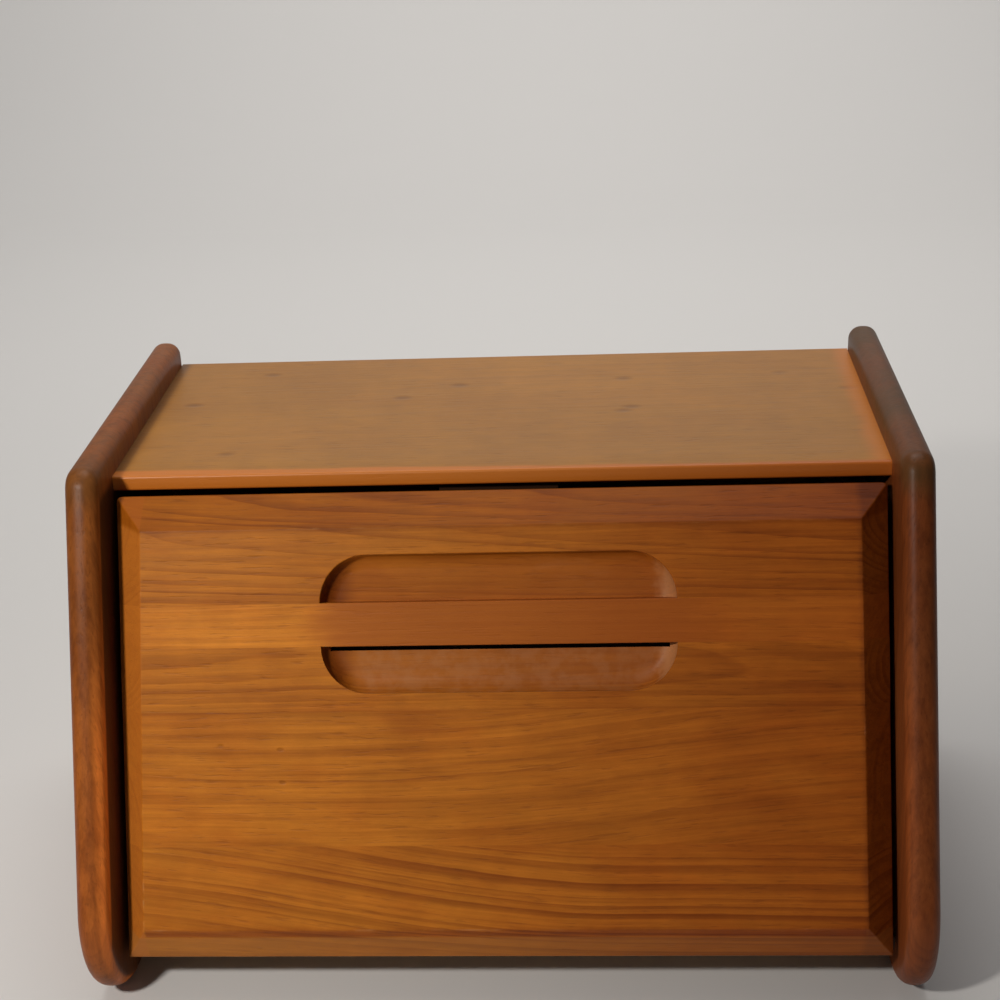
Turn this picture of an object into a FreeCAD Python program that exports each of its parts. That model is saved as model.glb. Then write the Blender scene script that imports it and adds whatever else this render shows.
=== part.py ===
"""Bread box with one deep drawer: a case of two round-edged sides, a top, a base and a back,
and a drawer whose raised-panel front leans back and carries a scooped pull.

Frame: +X right, +Y to the back, +Z up; the origin is on the floor, midway between the sides
and midway between the foremost and the rearmost point.  All sizes are in millimetres.
"""
import FreeCAD, Part
import os
import re
import Sketcher

doc = FreeCAD.newDocument("BreadBox")
Vector = FreeCAD.Vector
Rotation = FreeCAD.Rotation

# ---------------------------------------------------------------- driving dimensions
SIZES = (
    # the case
    ("case_width", 420, "over the two sides"),
    ("case_depth", 288, "foremost point of the feet to the back"),
    ("side_height", 266, "floor to the top of a side"),
    ("side_thickness", 16, "board of a side"),
    ("front_lean", 22, "degrees that the front leans back from upright"),
    ("foot_radius", 48, "lower front corner of a side"),
    ("crown_radius", 12, "upper front corner of a side"),
    ("heel_radius", 8, "both rear corners of a side"),
    ("edge_round", 7, "rounding all round both faces of a side"),
    # the top, the base and the back
    ("top_drop", 14.5, "top of the sides above the top panel"),
    ("top_thickness", 8, "top panel"),
    ("top_edge_round", 1.6, "front arrises of the top panel"),
    ("top_front_setback", 4, "top panel behind the edge plane of the drawer front"),
    ("panel_back_inset", 3, "top and base in front of the back of the sides"),
    ("base_lift", 20, "floor to the underside of the base"),
    ("base_thickness", 8, "base panel"),
    ("base_front_gap", 3, "base panel behind the drawer front"),
    ("back_thickness", 4, "plywood back"),
    ("back_inset", 8, "rear face of the back in front of the back of the sides"),
    ("back_tongue", 3, "how far the back goes into its grooves"),
    # the drawer front
    ("front_setback", 29, "edge plane of the drawer front behind the front of the sides"),
    ("front_lift", 27.5, "floor to the lower arris of the drawer front"),
    ("front_side_gap", 3, "drawer front to each side"),
    ("front_thickness", 22, "drawer front at its raised field"),
    ("bevel_depth", 12, "raised field above the edge plane"),
    ("bevel_side", 12, "width of the bevel left and right"),
    ("bevel_top", 17, "width of the bevel along the top"),
    ("bevel_bottom", 11.5, "width of the bevel along the bottom"),
    ("bottom_board_height", 58.5, "lowest board of the front"),
    ("lower_board_height", 67, "second board of the front"),
    ("middle_board_height", 32, "board below the grip rail"),
    ("grip_rail_height", 21.5, "board that the fingers hook behind"),
    # the pull
    ("pull_width", 175, "over both ends of the scoops"),
    ("pull_reach", 23.5, "each scoop above or below the grip rail"),
    ("pull_depth", 9, "floor of the scoops behind the raised field"),
    ("pull_cove", 8, "hollow between the floor and the wall of a scoop"),
    ("slot_width", 168, "finger slot under the grip rail"),
    ("slot_rise", 7, "finger slot up into the grip rail"),
    ("slot_lip", 4, "wood left in front of the finger slot"),
    ("slot_depth", 11, "rear wall of the finger slot behind the raised field"),
    ("rail_chamfer", 2.2, "upper arris of the grip rail, inside the pull"),
    ("rail_chamfer_inset", 3, "chamfer short of each end of the pull"),
    # the drawer box
    ("drawer_lift", 6, "drawer sides above the base panel"),
    ("drawer_head_gap", 24.5, "drawer sides and drawer back below the top panel"),
    ("drawer_board", 12, "thickness of the drawer sides and the drawer back"),
    ("drawer_side_inset", 1, "drawer sides in from the edges of the front"),
    ("drawer_back_gap", 5, "drawer back to the back of the case"),
    ("bottom_thickness", 5, "plywood bottom of the drawer"),
    ("bottom_lift", 8, "drawer bottom above the lower edge of the drawer sides"),
    ("bottom_tongue", 5, "how far the drawer bottom goes into its grooves"),
    # the runners
    ("runner_width", 10, "runner out from the side of the case"),
    ("runner_height", 14, "height of a runner"),
    ("runner_lift", 38, "runner above the lower edge of the drawer sides"),
    ("runner_top_play", 0.1, "groove above the runner that it rides on"),
    ("runner_low_play", 0.9, "groove below the runner"),
    ("runner_side_play", 0.5, "floor of the groove to the runner"),
    ("runner_end_play", 0.1, "end of the groove to the runner, drawer shut"),
    ("groove_stop", 14, "end of the groove behind the drawer front"),
    ("runner_back_gap", 2, "runner to the back of the case"),
    # the block that stops the drawer
    ("stop_front_gap", 5.3, "stop block behind the drawer front"),
    ("stop_width", 60, "stop block across the case"),
    ("stop_thickness", 16, "stop block front to back"),
    ("stop_catch", 9, "height of the drawer back that the stop block catches"),
    # dowels and screws
    ("case_dowel_diameter", 5, "dowels of the top and the base"),
    ("case_dowel_length", 24, "dowels of the top and the base"),
    ("case_dowel_reach", 10, "part of each dowel inside the side"),
    ("case_dowel_margin", 20, "outermost dowels from the ends of the joint"),
    ("front_dowel_diameter", 6, "dowels of the drawer front"),
    ("front_dowel_length", 22, "dowels of the drawer front"),
    ("front_dowel_reach", 10, "part of each dowel inside the front"),
    ("screw_diameter", 3.5, "shank of every wood screw"),
    ("screw_head", 7, "countersunk head across"),
    ("screw_head_depth", 2.6, "countersunk head"),
    ("screw_point", 4, "length of the tapered point"),
    ("runner_screw_length", 21, "screws of the runners"),
    ("runner_screw_margin", 20, "outermost screws from the ends of a runner"),
    ("drawer_screw_length", 32, "screws of the drawer back"),
    ("drawer_screw_margin", 20, "outermost screws from the edges of the drawer back"),
    ("stop_screw_bite", 5.5, "screws of the stop block inside the top panel"),
    ("stop_screw_margin", 14, "screws from the ends of the stop block"),
    # construction
    ("overcut", 2, "how far a cutting shape runs past the wood"),
)
CASE_DOWELS_PER_JOINT = 3
SCREWS_PER_RUNNER = 3
SCREWS_PER_DRAWER_CORNER = 3

sheet = doc.addObject("Spreadsheet::Sheet", "Dimensions")
for row, (alias, value, meaning) in enumerate(SIZES, start=1):
    sheet.set(f"A{row}", alias)
    sheet.set(f"B{row}", str(value))
    sheet.set(f"C{row}", meaning)
    sheet.setAlias(f"B{row}", alias)
doc.recompute()

# Places worked out from the driving dimensions, as expressions in the sheet's own words.
PLACES = {
    # the case
    "inner_half": "case_width / 2 - side_thickness",
    "rear": "case_depth / 2",
    "toe": "-case_depth / 2 - foot_radius * (tan(front_lean) + 1 / cos(front_lean) - 1)",
    "crown": "toe + side_height * tan(front_lean)",
    "panel_rear": "rear - panel_back_inset",
    "top_face": "side_height - top_drop",
    "top_under": "top_face - top_thickness",
    "top_front": "edge_plane + top_face * tan(front_lean) + top_front_setback",
    "base_face": "base_lift + base_thickness",
    "base_front": "front_rear_plane + base_face * tan(front_lean) + base_front_gap",
    "back_face": "rear - back_inset - back_thickness",
    # the planes of the drawer front, each at floor level
    "edge_plane": "toe + front_setback / cos(front_lean)",
    "front_rear_plane": "toe + (front_setback - bevel_depth + front_thickness) / cos(front_lean)",
    # the drawer front in its own frame: X across, Y into the wood, Z up the slope
    "front_half": "inner_half - front_side_gap",
    "front_origin_y": "edge_plane + front_lift * tan(front_lean) - bevel_depth * cos(front_lean)",
    "front_origin_z": "front_lift + bevel_depth * sin(front_lean)",
    "lower_board_foot": "bottom_board_height",
    "middle_board_foot": "lower_board_foot + lower_board_height",
    "rail_foot": "middle_board_foot + middle_board_height",
    "rail_head": "rail_foot + grip_rail_height",
    "front_length": "(top_under - front_lift) / cos(front_lean)",
    "top_board_height": "front_length - rail_head",
    # the drawer box
    "drawer_half": "front_half - drawer_side_inset",
    "drawer_foot": "base_face + drawer_lift",
    "drawer_head": "top_under - drawer_head_gap",
    "drawer_rear": "back_face - drawer_back_gap",
    "drawer_back_front": "drawer_rear - drawer_board",
    "bottom_under": "drawer_foot + bottom_lift",
    "bottom_half": "drawer_half - drawer_board + bottom_tongue",
    "bottom_front": "front_rear_plane + bottom_under * tan(front_lean) - bottom_tongue",
    "bottom_rear": "drawer_back_front + bottom_tongue",
    # the runners
    "runner_foot": "drawer_foot + runner_lift",
    "runner_head": "runner_foot + runner_height",
    "runner_inner": "inner_half - runner_width",
    "groove_end": "front_rear_plane + runner_head * tan(front_lean) + groove_stop",
    "runner_front": "groove_end + runner_end_play",
    "runner_rear": "back_face - runner_back_gap",
    # the stop block
    "stop_front": "front_rear_plane + top_under * tan(front_lean) + stop_front_gap",
    "stop_rear": "stop_front + stop_thickness",
    "stop_foot": "drawer_head - stop_catch",
}
ALIASES = {alias for alias, _, _ in SIZES}


def spell(text):
    """Write an expression of plain words as one that the document can evaluate."""
    def replace(match):
        word = match.group(0)
        if word in PLACES:
            return "(" + spell(PLACES[word]) + ")"
        if word in ALIASES:
            return "Dimensions." + word
        return word
    return re.sub(r"[a-z][a-z_]*", replace, text)


def bind(thing, **values):
    """Bind properties to expressions; x, y and z mean the base of the Placement."""
    for name, text in values.items():
        path = f"Placement.Base.{name}" if name in ("x", "y", "z") else name
        thing.setExpression(path, spell(text))
    return thing


# ---------------------------------------------------------------- shapes that repeat
def box(name, x, y, z):
    """A box; x, y and z are pairs of expressions for its low and high faces."""
    solid = doc.addObject("Part::Box", name)
    bind(solid, x=x[0], y=y[0], z=z[0])
    return bind(solid, Length=f"({x[1]}) - ({x[0]})", Width=f"({y[1]}) - ({y[0]})",
                Height=f"({z[1]}) - ({z[0]})")


def cut(label, base, *tools):
    """Take each tool away from the base; the last result carries the label."""
    for number, tool in enumerate(tools, start=1):
        last = number == len(tools)
        result = doc.addObject("Part::Cut", label if last else f"{label}_step_{number}")
        result.Base = base
        result.Tool = tool
        base = result
    return base


def group(label, members):
    """Several equal pieces as one sub-part."""
    compound = doc.addObject("Part::Compound", label)
    compound.Links = members
    return compound


def lean_with_front(thing):
    """Place something drawn in the drawer front's own frame."""
    thing.Placement = FreeCAD.Placement(Vector(0, 0, 0), Rotation(Vector(-1, 0, 0), 10))
    thing.setExpression("Placement.Rotation.Angle", spell("front_lean"))
    return bind(thing, y="front_origin_y", z="front_origin_z")


def sketched_board(name, plane, corners, thickness, reverse=False):
    """A body that is a polygon on one origin plane, padded to the thickness of the board."""
    body = doc.addObject("PartDesign::Body", name)
    origin_plane = [item for item in body.Origin.OriginFeatures if item.Role == plane][0]
    sketch = body.newObject("Sketcher::SketchObject", name + "_outline")
    sketch.AttachmentSupport = [(origin_plane, "")]
    sketch.MapMode = "FlatFace"
    guesses = [[float(sheet_value(text)) for text in corner] for corner in corners]
    for index, start in enumerate(guesses):
        finish = guesses[(index + 1) % len(guesses)]
        sketch.addGeometry(Part.LineSegment(Vector(*start, 0), Vector(*finish, 0)), False)
    for index in range(len(corners)):
        after = (index + 1) % len(corners)
        sketch.addConstraint(Sketcher.Constraint("Coincident", index, 2, after, 1))
    for index, (across, up) in enumerate(corners):
        for kind, text, guess in (("DistanceX", across, guesses[index][0]),
                                  ("DistanceY", up, guesses[index][1])):
            number = sketch.addConstraint(Sketcher.Constraint(kind, -1, 1, index, 1, guess))
            sketch.setExpression(f"Constraints[{number}]", spell(text))
    pad = body.newObject("PartDesign::Pad", name + "_board")
    pad.Profile = sketch
    pad.Reversed = reverse
    bind(pad, Length=thickness)
    doc.recompute()
    return body


def sheet_value(text):
    """The present value of an expression, for the first guess of a sketch."""
    probe = sheet.evalExpression(spell(text))
    return getattr(probe, "Value", probe)


def round_edges(body, name, radius, wanted):
    """Fillet the edges of the body's last feature that pass the test."""
    last = body.Tip
    names = [f"Edge{number}" for number, edge in enumerate(last.Shape.Edges, start=1)
             if wanted(edge.BoundBox)]
    fillet = body.newObject("PartDesign::Fillet", name)
    fillet.Base = (last, names)
    bind(fillet, Radius=radius)
    doc.recompute()
    return fillet


def screw(name, length, axis):
    """A countersunk wood screw; its head is at the origin and it points along the axis."""
    head = doc.addObject("Part::Cone", name + "_head")
    bind(head, Radius1="screw_head / 2", Radius2="screw_diameter / 2", Height="screw_head_depth")
    shank = doc.addObject("Part::Cylinder", name + "_shank")
    bind(shank, Radius="screw_diameter / 2", z="screw_head_depth",
         Height=f"({length}) - screw_head_depth - screw_point")
    point = doc.addObject("Part::Cone", name + "_point")
    bind(point, Radius1="screw_diameter / 2", Radius2="screw_diameter / 8", Height="screw_point",
         z=f"({length}) - screw_point")
    whole = doc.addObject("Part::MultiFuse", name)
    whole.Shapes = [head, shank, point]
    whole.Placement = FreeCAD.Placement(Vector(0, 0, 0), Rotation(Vector(0, 0, 1), axis))
    return whole


def spread(low, high, margin, index, count):
    """Expression for one of several places spaced evenly between two ends."""
    return f"({low}) + {margin} + {index} * (({high}) - ({low}) - 2 * {margin}) / {count - 1}"


SIDES = (("left", -1), ("right", 1))


# ---------------------------------------------------------------- dowels and screws
def make_case_dowels():
    """Dowels that join the top and the base to the sides."""
    joints = (("top", "top_front", "top_under + top_thickness / 2"),
              ("base", "base_front", "base_lift + base_thickness / 2"))
    dowels = []
    for side, sign in SIDES:
        start = {-1: "-inner_half - case_dowel_reach",
                 1: "inner_half + case_dowel_reach - case_dowel_length"}[sign]
        for panel, front, height in joints:
            for index in range(CASE_DOWELS_PER_JOINT):
                dowel = doc.addObject("Part::Cylinder", f"{panel}_dowel_{side}_{index + 1}")
                dowel.Placement = FreeCAD.Placement(Vector(), Rotation(Vector(0, 1, 0), 90))
                place = spread(front, "back_face", "case_dowel_margin", index,
                               CASE_DOWELS_PER_JOINT)
                bind(dowel, Radius="case_dowel_diameter / 2", Height="case_dowel_length",
                     x=start, y=place, z=height)
                dowels.append(dowel)
    return group("case_dowels", dowels)


def make_front_dowels():
    """Dowels from each board of the drawer front into the ends of the drawer sides."""
    heights = (("bottom", "bottom_board_height * 3 / 4"),
               ("lower", "lower_board_foot + lower_board_height / 2"),
               ("middle", "middle_board_foot + middle_board_height / 2"),
               ("top", "rail_head + top_board_height / 4"))
    dowels = []
    for side, sign in SIDES:
        for board, height in heights:
            dowel = doc.addObject("Part::Cylinder", f"front_dowel_{side}_{board}")
            dowel.Placement = FreeCAD.Placement(Vector(), Rotation(Vector(-1, 0, 0), 90))
            bind(dowel, Radius="front_dowel_diameter / 2", Height="front_dowel_length",
                 x=f"{sign} * (drawer_half - drawer_board / 2)",
                 y="front_thickness - front_dowel_reach", z=height)
            dowels.append(dowel)
    return lean_with_front(group("front_dowels", dowels))


def make_runner_screws():
    screws = []
    for side, sign in SIDES:
        for index in range(SCREWS_PER_RUNNER):
            item = screw(f"runner_screw_{side}_{index + 1}", "runner_screw_length",
                         Vector(sign, 0, 0))
            place = spread("runner_front", "runner_rear", "runner_screw_margin", index,
                           SCREWS_PER_RUNNER)
            bind(item, x=f"{sign} * runner_inner", y=place, z="runner_foot + runner_height / 2")
            screws.append(item)
    return group("runner_screws", screws)


def make_drawer_screws():
    screws = []
    for side, sign in SIDES:
        for index in range(SCREWS_PER_DRAWER_CORNER):
            item = screw(f"drawer_screw_{side}_{index + 1}", "drawer_screw_length",
                         Vector(-sign, 0, 0))
            place = spread("drawer_foot", "drawer_head", "drawer_screw_margin", index,
                           SCREWS_PER_DRAWER_CORNER)
            bind(item, x=f"{sign} * drawer_half", y="drawer_rear - drawer_board / 2", z=place)
            screws.append(item)
    return group("drawer_screws", screws)


def make_stop_screws():
    screws = []
    for side, sign in SIDES:
        item = screw(f"stop_screw_{side}", "top_under - stop_foot + stop_screw_bite",
                     Vector(0, 0, 1))
        bind(item, x=f"{sign} * (stop_width / 2 - stop_screw_margin)",
             y="(stop_front + stop_rear) / 2", z="stop_foot")
        screws.append(item)
    return group("stop_screws", screws)


case_dowels = make_case_dowels()
front_dowels = make_front_dowels()
runner_screws = make_runner_screws()
drawer_screws = make_drawer_screws()
stop_screws = make_stop_screws()


# ---------------------------------------------------------------- the case
def make_side(side, sign):
    """A side: a slanting front, round corners and rounded edges, standing on its own feet."""
    corners = (("toe", "0"), ("rear", "0"), ("rear", "side_height"), ("crown", "side_height"))
    body = sketched_board(f"side_{side}_board", "YZ_Plane", corners, "side_thickness")
    middle = body.Shape.BoundBox.Center
    thickness = body.Shape.BoundBox.XLength

    def corner(front, low):
        def wanted(bounds):
            along = bounds.XLength > thickness / 2
            return along and (bounds.Center.y < middle.y) == front and \
                (bounds.Center.z < middle.z) == low
        return wanted

    round_edges(body, f"side_{side}_foot", "foot_radius", corner(True, True))
    round_edges(body, f"side_{side}_crown", "crown_radius", corner(True, False))
    round_edges(body, f"side_{side}_heel", "heel_radius", corner(False, True))
    round_edges(body, f"side_{side}_nape", "heel_radius", corner(False, False))
    round_edges(body, f"side_{side}_edges", "edge_round",
                lambda bounds: bounds.XLength < thickness / 1000)
    bind(body, x={-1: "-case_width / 2", 1: "inner_half"}[sign])
    return cut(f"side_{side}", body, back_panel, case_dowels, runner_screws)


def make_top():
    corners = (("top_front", "top_under"), ("panel_rear", "top_under"),
               ("panel_rear", "top_face"), ("top_front", "top_face"))
    body = sketched_board("top_board", "YZ_Plane", corners, "2 * inner_half")
    front = body.Shape.BoundBox.YMin
    round_edges(body, "top_arrises", "top_edge_round",
                lambda bounds: bounds.YMax < front + 0.001 and bounds.XLength > 1)
    bind(body, x="-inner_half")
    return cut("top_panel", body, back_panel, case_dowels, stop_screws)


def make_base():
    board = box("base_board", ("-inner_half", "inner_half"), ("base_front", "panel_rear"),
                ("base_lift", "base_face"))
    return cut("base_panel", board, back_panel, case_dowels)


def make_back():
    """The back; the grooves of the sides, the top and the base are cut with it."""
    return box("back_panel", ("-inner_half - back_tongue", "inner_half + back_tongue"),
               ("back_face", "rear - back_inset"),
               ("base_face - back_tongue", "top_under + back_tongue"))


def make_runner(side, sign):
    across = {-1: ("-inner_half", "-runner_inner"), 1: ("runner_inner", "inner_half")}[sign]
    blank = box(f"runner_{side}_blank", across, ("runner_front", "runner_rear"),
                ("runner_foot", "runner_head"))
    return cut(f"runner_{side}", blank, runner_screws)


def make_stop():
    blank = box("stop_blank", ("-stop_width / 2", "stop_width / 2"),
                ("stop_front", "stop_rear"), ("stop_foot", "top_under"))
    return cut("stop_block", blank, stop_screws)


back_panel = make_back()
case_nodes = [make_side(side, sign) for side, sign in SIDES]
case_nodes += [make_top(), make_base(), back_panel]
case_nodes += [make_runner(side, sign) for side, sign in SIDES]
case_nodes += [make_stop(), case_dowels, runner_screws, stop_screws]


# ---------------------------------------------------------------- the drawer front
def raised_panel():
    """The whole front in its own frame: a raised field with a bevel down to thinner edges."""
    field = doc.addObject("Part::Wedge", "raised_field")
    bind(field, Xmin="-front_half + bevel_side", Xmax="front_half - bevel_side",
         Zmin="bevel_bottom", Zmax="front_length - bevel_top", Ymin="0", Ymax="bevel_depth",
         X2min="-front_half", X2max="front_half", Z2min="0", Z2max="front_length")
    slab = box("front_slab", ("-front_half", "front_half"), ("bevel_depth", "front_thickness"),
               ("0", "front_length"))
    panel = doc.addObject("Part::MultiFuse", "front_panel")
    panel.Shapes = [field, slab]
    return panel


def pull_scoops():
    """The hollow of the pull: round ends, a flat floor and a cove all round it."""
    foot, head = "rail_foot - pull_reach", "rail_head + pull_reach"
    corners = (("-pull_width / 2", foot), ("pull_width / 2", foot),
               ("pull_width / 2", head), ("-pull_width / 2", head))
    hollow = sketched_board("pull_hollow", "XZ_Plane", corners, "pull_depth + overcut", True)
    deep = hollow.Shape.BoundBox.YMax
    round_edges(hollow, "pull_corners", "pull_reach", lambda bounds: bounds.YLength > deep / 2)
    round_edges(hollow, "pull_coves", "pull_cove", lambda bounds: bounds.YMin > deep - 0.001)
    return bind(hollow, y="-overcut")


def front_board(label, panel, foot, height, tools=(), slots=()):
    """One board of the front: its share of the panel, hollowed, leant back and grooved."""
    share = box(label + "_share", ("-front_half", "front_half"), ("0", "front_thickness"),
                (foot, f"({foot}) + ({height})"))
    board = doc.addObject("Part::Common", label + "_sawn")
    board.Base = panel
    board.Tool = share
    shaped = cut(label + "_shaped", board, *tools) if tools else board
    return cut(label, lean_with_front(shaped), front_dowels, *slots)


def grip_rail_tools():
    """The finger slot under the grip rail and the chamfer along its upper arris."""
    slot = box("finger_slot", ("-slot_width / 2", "slot_width / 2"), ("slot_lip", "slot_depth"),
               ("rail_foot - overcut", "rail_foot + slot_rise"))
    chamfer = doc.addObject("Part::Box", "rail_chamfer_cut")
    chamfer.Placement = FreeCAD.Placement(Vector(), Rotation(Vector(1, 0, 0), 45))
    bind(chamfer, x="-pull_width / 2 + rail_chamfer_inset", z="rail_head - rail_chamfer",
         Length="pull_width - 2 * rail_chamfer_inset", Width="rail_chamfer * sqrt(2)",
         Height="rail_chamfer * sqrt(2)")
    return slot, chamfer


def make_drawer_bottom():
    """The drawer bottom; the grooves that hold it on all four edges are cut with it."""
    return box("drawer_bottom", ("-bottom_half", "bottom_half"), ("bottom_front", "bottom_rear"),
               ("bottom_under", "bottom_under + bottom_thickness"))


panel = raised_panel()
scoops = pull_scoops()
drawer_bottom = make_drawer_bottom()
drawer_nodes = [
    front_board("front_bottom_board", panel, "0", "bottom_board_height", slots=[drawer_bottom]),
    front_board("front_lower_board", panel, "lower_board_foot", "lower_board_height"),
    front_board("front_middle_board", panel, "middle_board_foot", "middle_board_height",
                tools=[scoops]),
    front_board("front_grip_rail", panel, "rail_foot", "grip_rail_height",
                tools=grip_rail_tools()),
    front_board("front_top_board", panel, "rail_head", "top_board_height", tools=[scoops]),
]


# ---------------------------------------------------------------- the drawer box
def make_drawer_side(side, sign):
    """A drawer side: its front end follows the lean, a groove along it takes the runner."""
    corners = tuple((f"front_rear_plane + {height} * tan(front_lean)", height)
                    for height in ("drawer_foot", "drawer_head"))
    corners = (corners[0], ("drawer_rear", "drawer_foot"), ("drawer_rear", "drawer_head"),
               corners[1])
    body = sketched_board(f"drawer_side_{side}_board", "YZ_Plane", corners, "drawer_board")
    bind(body, x={-1: "-drawer_half", 1: "drawer_half - drawer_board"}[sign])
    floor = "runner_inner - runner_side_play"
    outside = "drawer_half + overcut"
    across = {-1: (f"-({outside})", f"-({floor})"), 1: (floor, outside)}[sign]
    channel = box(f"runner_groove_{side}", across, ("groove_end", "drawer_rear + overcut"),
                  ("runner_foot - runner_low_play", "runner_head + runner_top_play"))
    return cut(f"drawer_side_{side}", body, channel, drawer_bottom, front_dowels, drawer_screws)


def make_drawer_back():
    half = "drawer_half - drawer_board"
    board = box("drawer_back_board", (f"-({half})", half), ("drawer_back_front", "drawer_rear"),
                ("drawer_foot", "drawer_head"))
    return cut("drawer_back", board, drawer_bottom, drawer_screws)


drawer_nodes += [make_drawer_side(side, sign) for side, sign in SIDES]
drawer_nodes += [make_drawer_back(), drawer_bottom, front_dowels, drawer_screws]

# ---------------------------------------------------------------- check and write
doc.recompute()
failed = [item.Label for item in doc.Objects if {"Invalid", "Error"} & set(item.State)]
if failed:
    raise RuntimeError("features that failed: " + ", ".join(failed))
for node in case_nodes + drawer_nodes:
    if node.Shape.isNull() or not node.Shape.isValid() or not node.Shape.Solids:
        raise RuntimeError("bad shape: " + node.Label)

os.makedirs("parts", exist_ok=True)
for node in case_nodes + drawer_nodes:
    node.Shape.exportStep(f"parts/{node.Label}.step")
    size = node.Shape.optimalBoundingBox(False)
    print(f"{node.Label:20s} solids {len(node.Shape.Solids):2d}  volume {node.Shape.Volume:10.0f}  "
          f"x {size.XMin:7.1f} {size.XMax:7.1f}  y {size.YMin:7.1f} {size.YMax:7.1f}  "
          f"z {size.ZMin:6.1f} {size.ZMax:6.1f}")
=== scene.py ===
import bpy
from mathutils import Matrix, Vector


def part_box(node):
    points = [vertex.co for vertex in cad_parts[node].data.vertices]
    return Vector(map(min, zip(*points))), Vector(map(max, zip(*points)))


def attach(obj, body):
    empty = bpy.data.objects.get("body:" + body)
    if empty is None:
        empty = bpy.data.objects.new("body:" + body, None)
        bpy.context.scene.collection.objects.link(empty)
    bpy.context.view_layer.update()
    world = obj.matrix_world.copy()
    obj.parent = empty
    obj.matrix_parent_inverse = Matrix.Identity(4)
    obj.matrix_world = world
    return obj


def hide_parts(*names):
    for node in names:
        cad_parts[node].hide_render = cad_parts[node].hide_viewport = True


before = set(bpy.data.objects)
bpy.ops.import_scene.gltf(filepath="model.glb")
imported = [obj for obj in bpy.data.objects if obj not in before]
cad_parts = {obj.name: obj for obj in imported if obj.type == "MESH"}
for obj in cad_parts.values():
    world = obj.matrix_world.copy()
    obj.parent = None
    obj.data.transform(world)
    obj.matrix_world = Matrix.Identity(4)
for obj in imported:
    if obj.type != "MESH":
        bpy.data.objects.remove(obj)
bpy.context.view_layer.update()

import math

import bmesh
import bpy
from bpy.props import FloatProperty, FloatVectorProperty, IntProperty, PointerProperty
from mathutils import Matrix, Vector

bl_info = {
    "name": "Bread box with drawer",
    "version": (1, 0, 0),
    "blender": (4, 5, 0),
    "location": "View3D > Sidebar > Bread box",
    "description": "A wooden bread box: shaped sides, a raised drawer front, its pull and its "
                   "fixings",
    "category": "Object",
}


# ---------------------------------------------------------------- sizes and colours
def length(name, description, default):
    return FloatProperty(name=name, description=description, default=default, min=0.0,
                         unit="LENGTH", subtype="DISTANCE", precision=4)


def tint(name, description, default):
    return FloatVectorProperty(name=name, description=description, default=default, size=3,
                               min=0.0, max=1.0, subtype="COLOR")


class BreadBoxSizes(bpy.types.PropertyGroup):
    """Sizes of the pieces that this file shapes itself"""
    lean: FloatProperty(name="Lean", description="How far the front leans back",
                        default=math.radians(22), subtype="ANGLE", unit="ROTATION")
    foot_radius: length("Foot radius", "Round corner at the front foot of a side", 0.048)
    crown_radius: length("Crown radius", "Round corner at the top front of a side", 0.012)
    heel_radius: length("Heel radius", "Round corners at the back of a side", 0.008)
    edge_round: length("Edge round", "Rounding along all edges of a side", 0.007)
    top_round: length("Top rounding", "Front arrises of the top", 0.0016)
    edge_plane: length("Edge plane", "Edge plane of the front behind the toe line", 0.029)
    front_thickness: length("Front thickness", "Front at its raised field", 0.022)
    bevel_depth: length("Bevel depth", "Raised field above the edge plane", 0.012)
    bevel_side: length("Side bevel", "Width of the bevel left and right", 0.012)
    bevel_taper: length("Bevel taper", "Side bevels wider at the top than at the foot", 0.0036)
    bevel_extra: length("Bevel extra", "Right bevel wider still at its foot", 0.0026)
    bevel_top: length("Top bevel", "Width of the bevel along the top", 0.017)
    bevel_bottom: length("Bottom bevel", "Width of the bevel along the bottom", 0.0165)
    pull_width: length("Pull width", "Over both ends of the scoops", 0.175)
    pull_reach: length("Pull reach", "Each scoop above or below the grip rail", 0.0235)
    pull_depth: length("Pull depth", "Floor of the scoops behind the field", 0.009)
    pull_cove: length("Pull cove", "Hollow between floor and wall of a scoop", 0.008)
    slot_width: length("Slot width", "Finger slot under the grip rail", 0.168)
    slot_rise: length("Slot rise", "Finger slot up into the grip rail", 0.007)
    slot_lip: length("Slot lip", "Wood left in front of the finger slot", 0.004)
    slot_depth: length("Slot depth", "Rear wall of the finger slot", 0.011)
    slot_opening: length("Slot opening", "Open part of the slot below the rail", 0.0030)
    rail_chamfer: length("Rail chamfer", "Upper arris of the grip rail", 0.0022)
    corner_round: length("Corner round", "Upper corners of the drawer front", 0.0026)
    arris: length("Eased arris", "Worn rounding of the sharp arrises", 0.0006)
    screw_head: length("Screw head", "Countersunk head across", 0.007)
    screw_shank: length("Screw shank", "Thread of every screw across", 0.0035)
    screw_pitch: length("Thread pitch", "One turn of the thread", 0.0016)
    case_dowel: length("Case dowel", "Dowels of the top and the base across", 0.005)
    front_dowel: length("Front dowel", "Dowels of the drawer front across", 0.006)
    flutes: IntProperty(name="Flutes", description="Glue flutes round a dowel", default=14, min=3)


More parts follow.
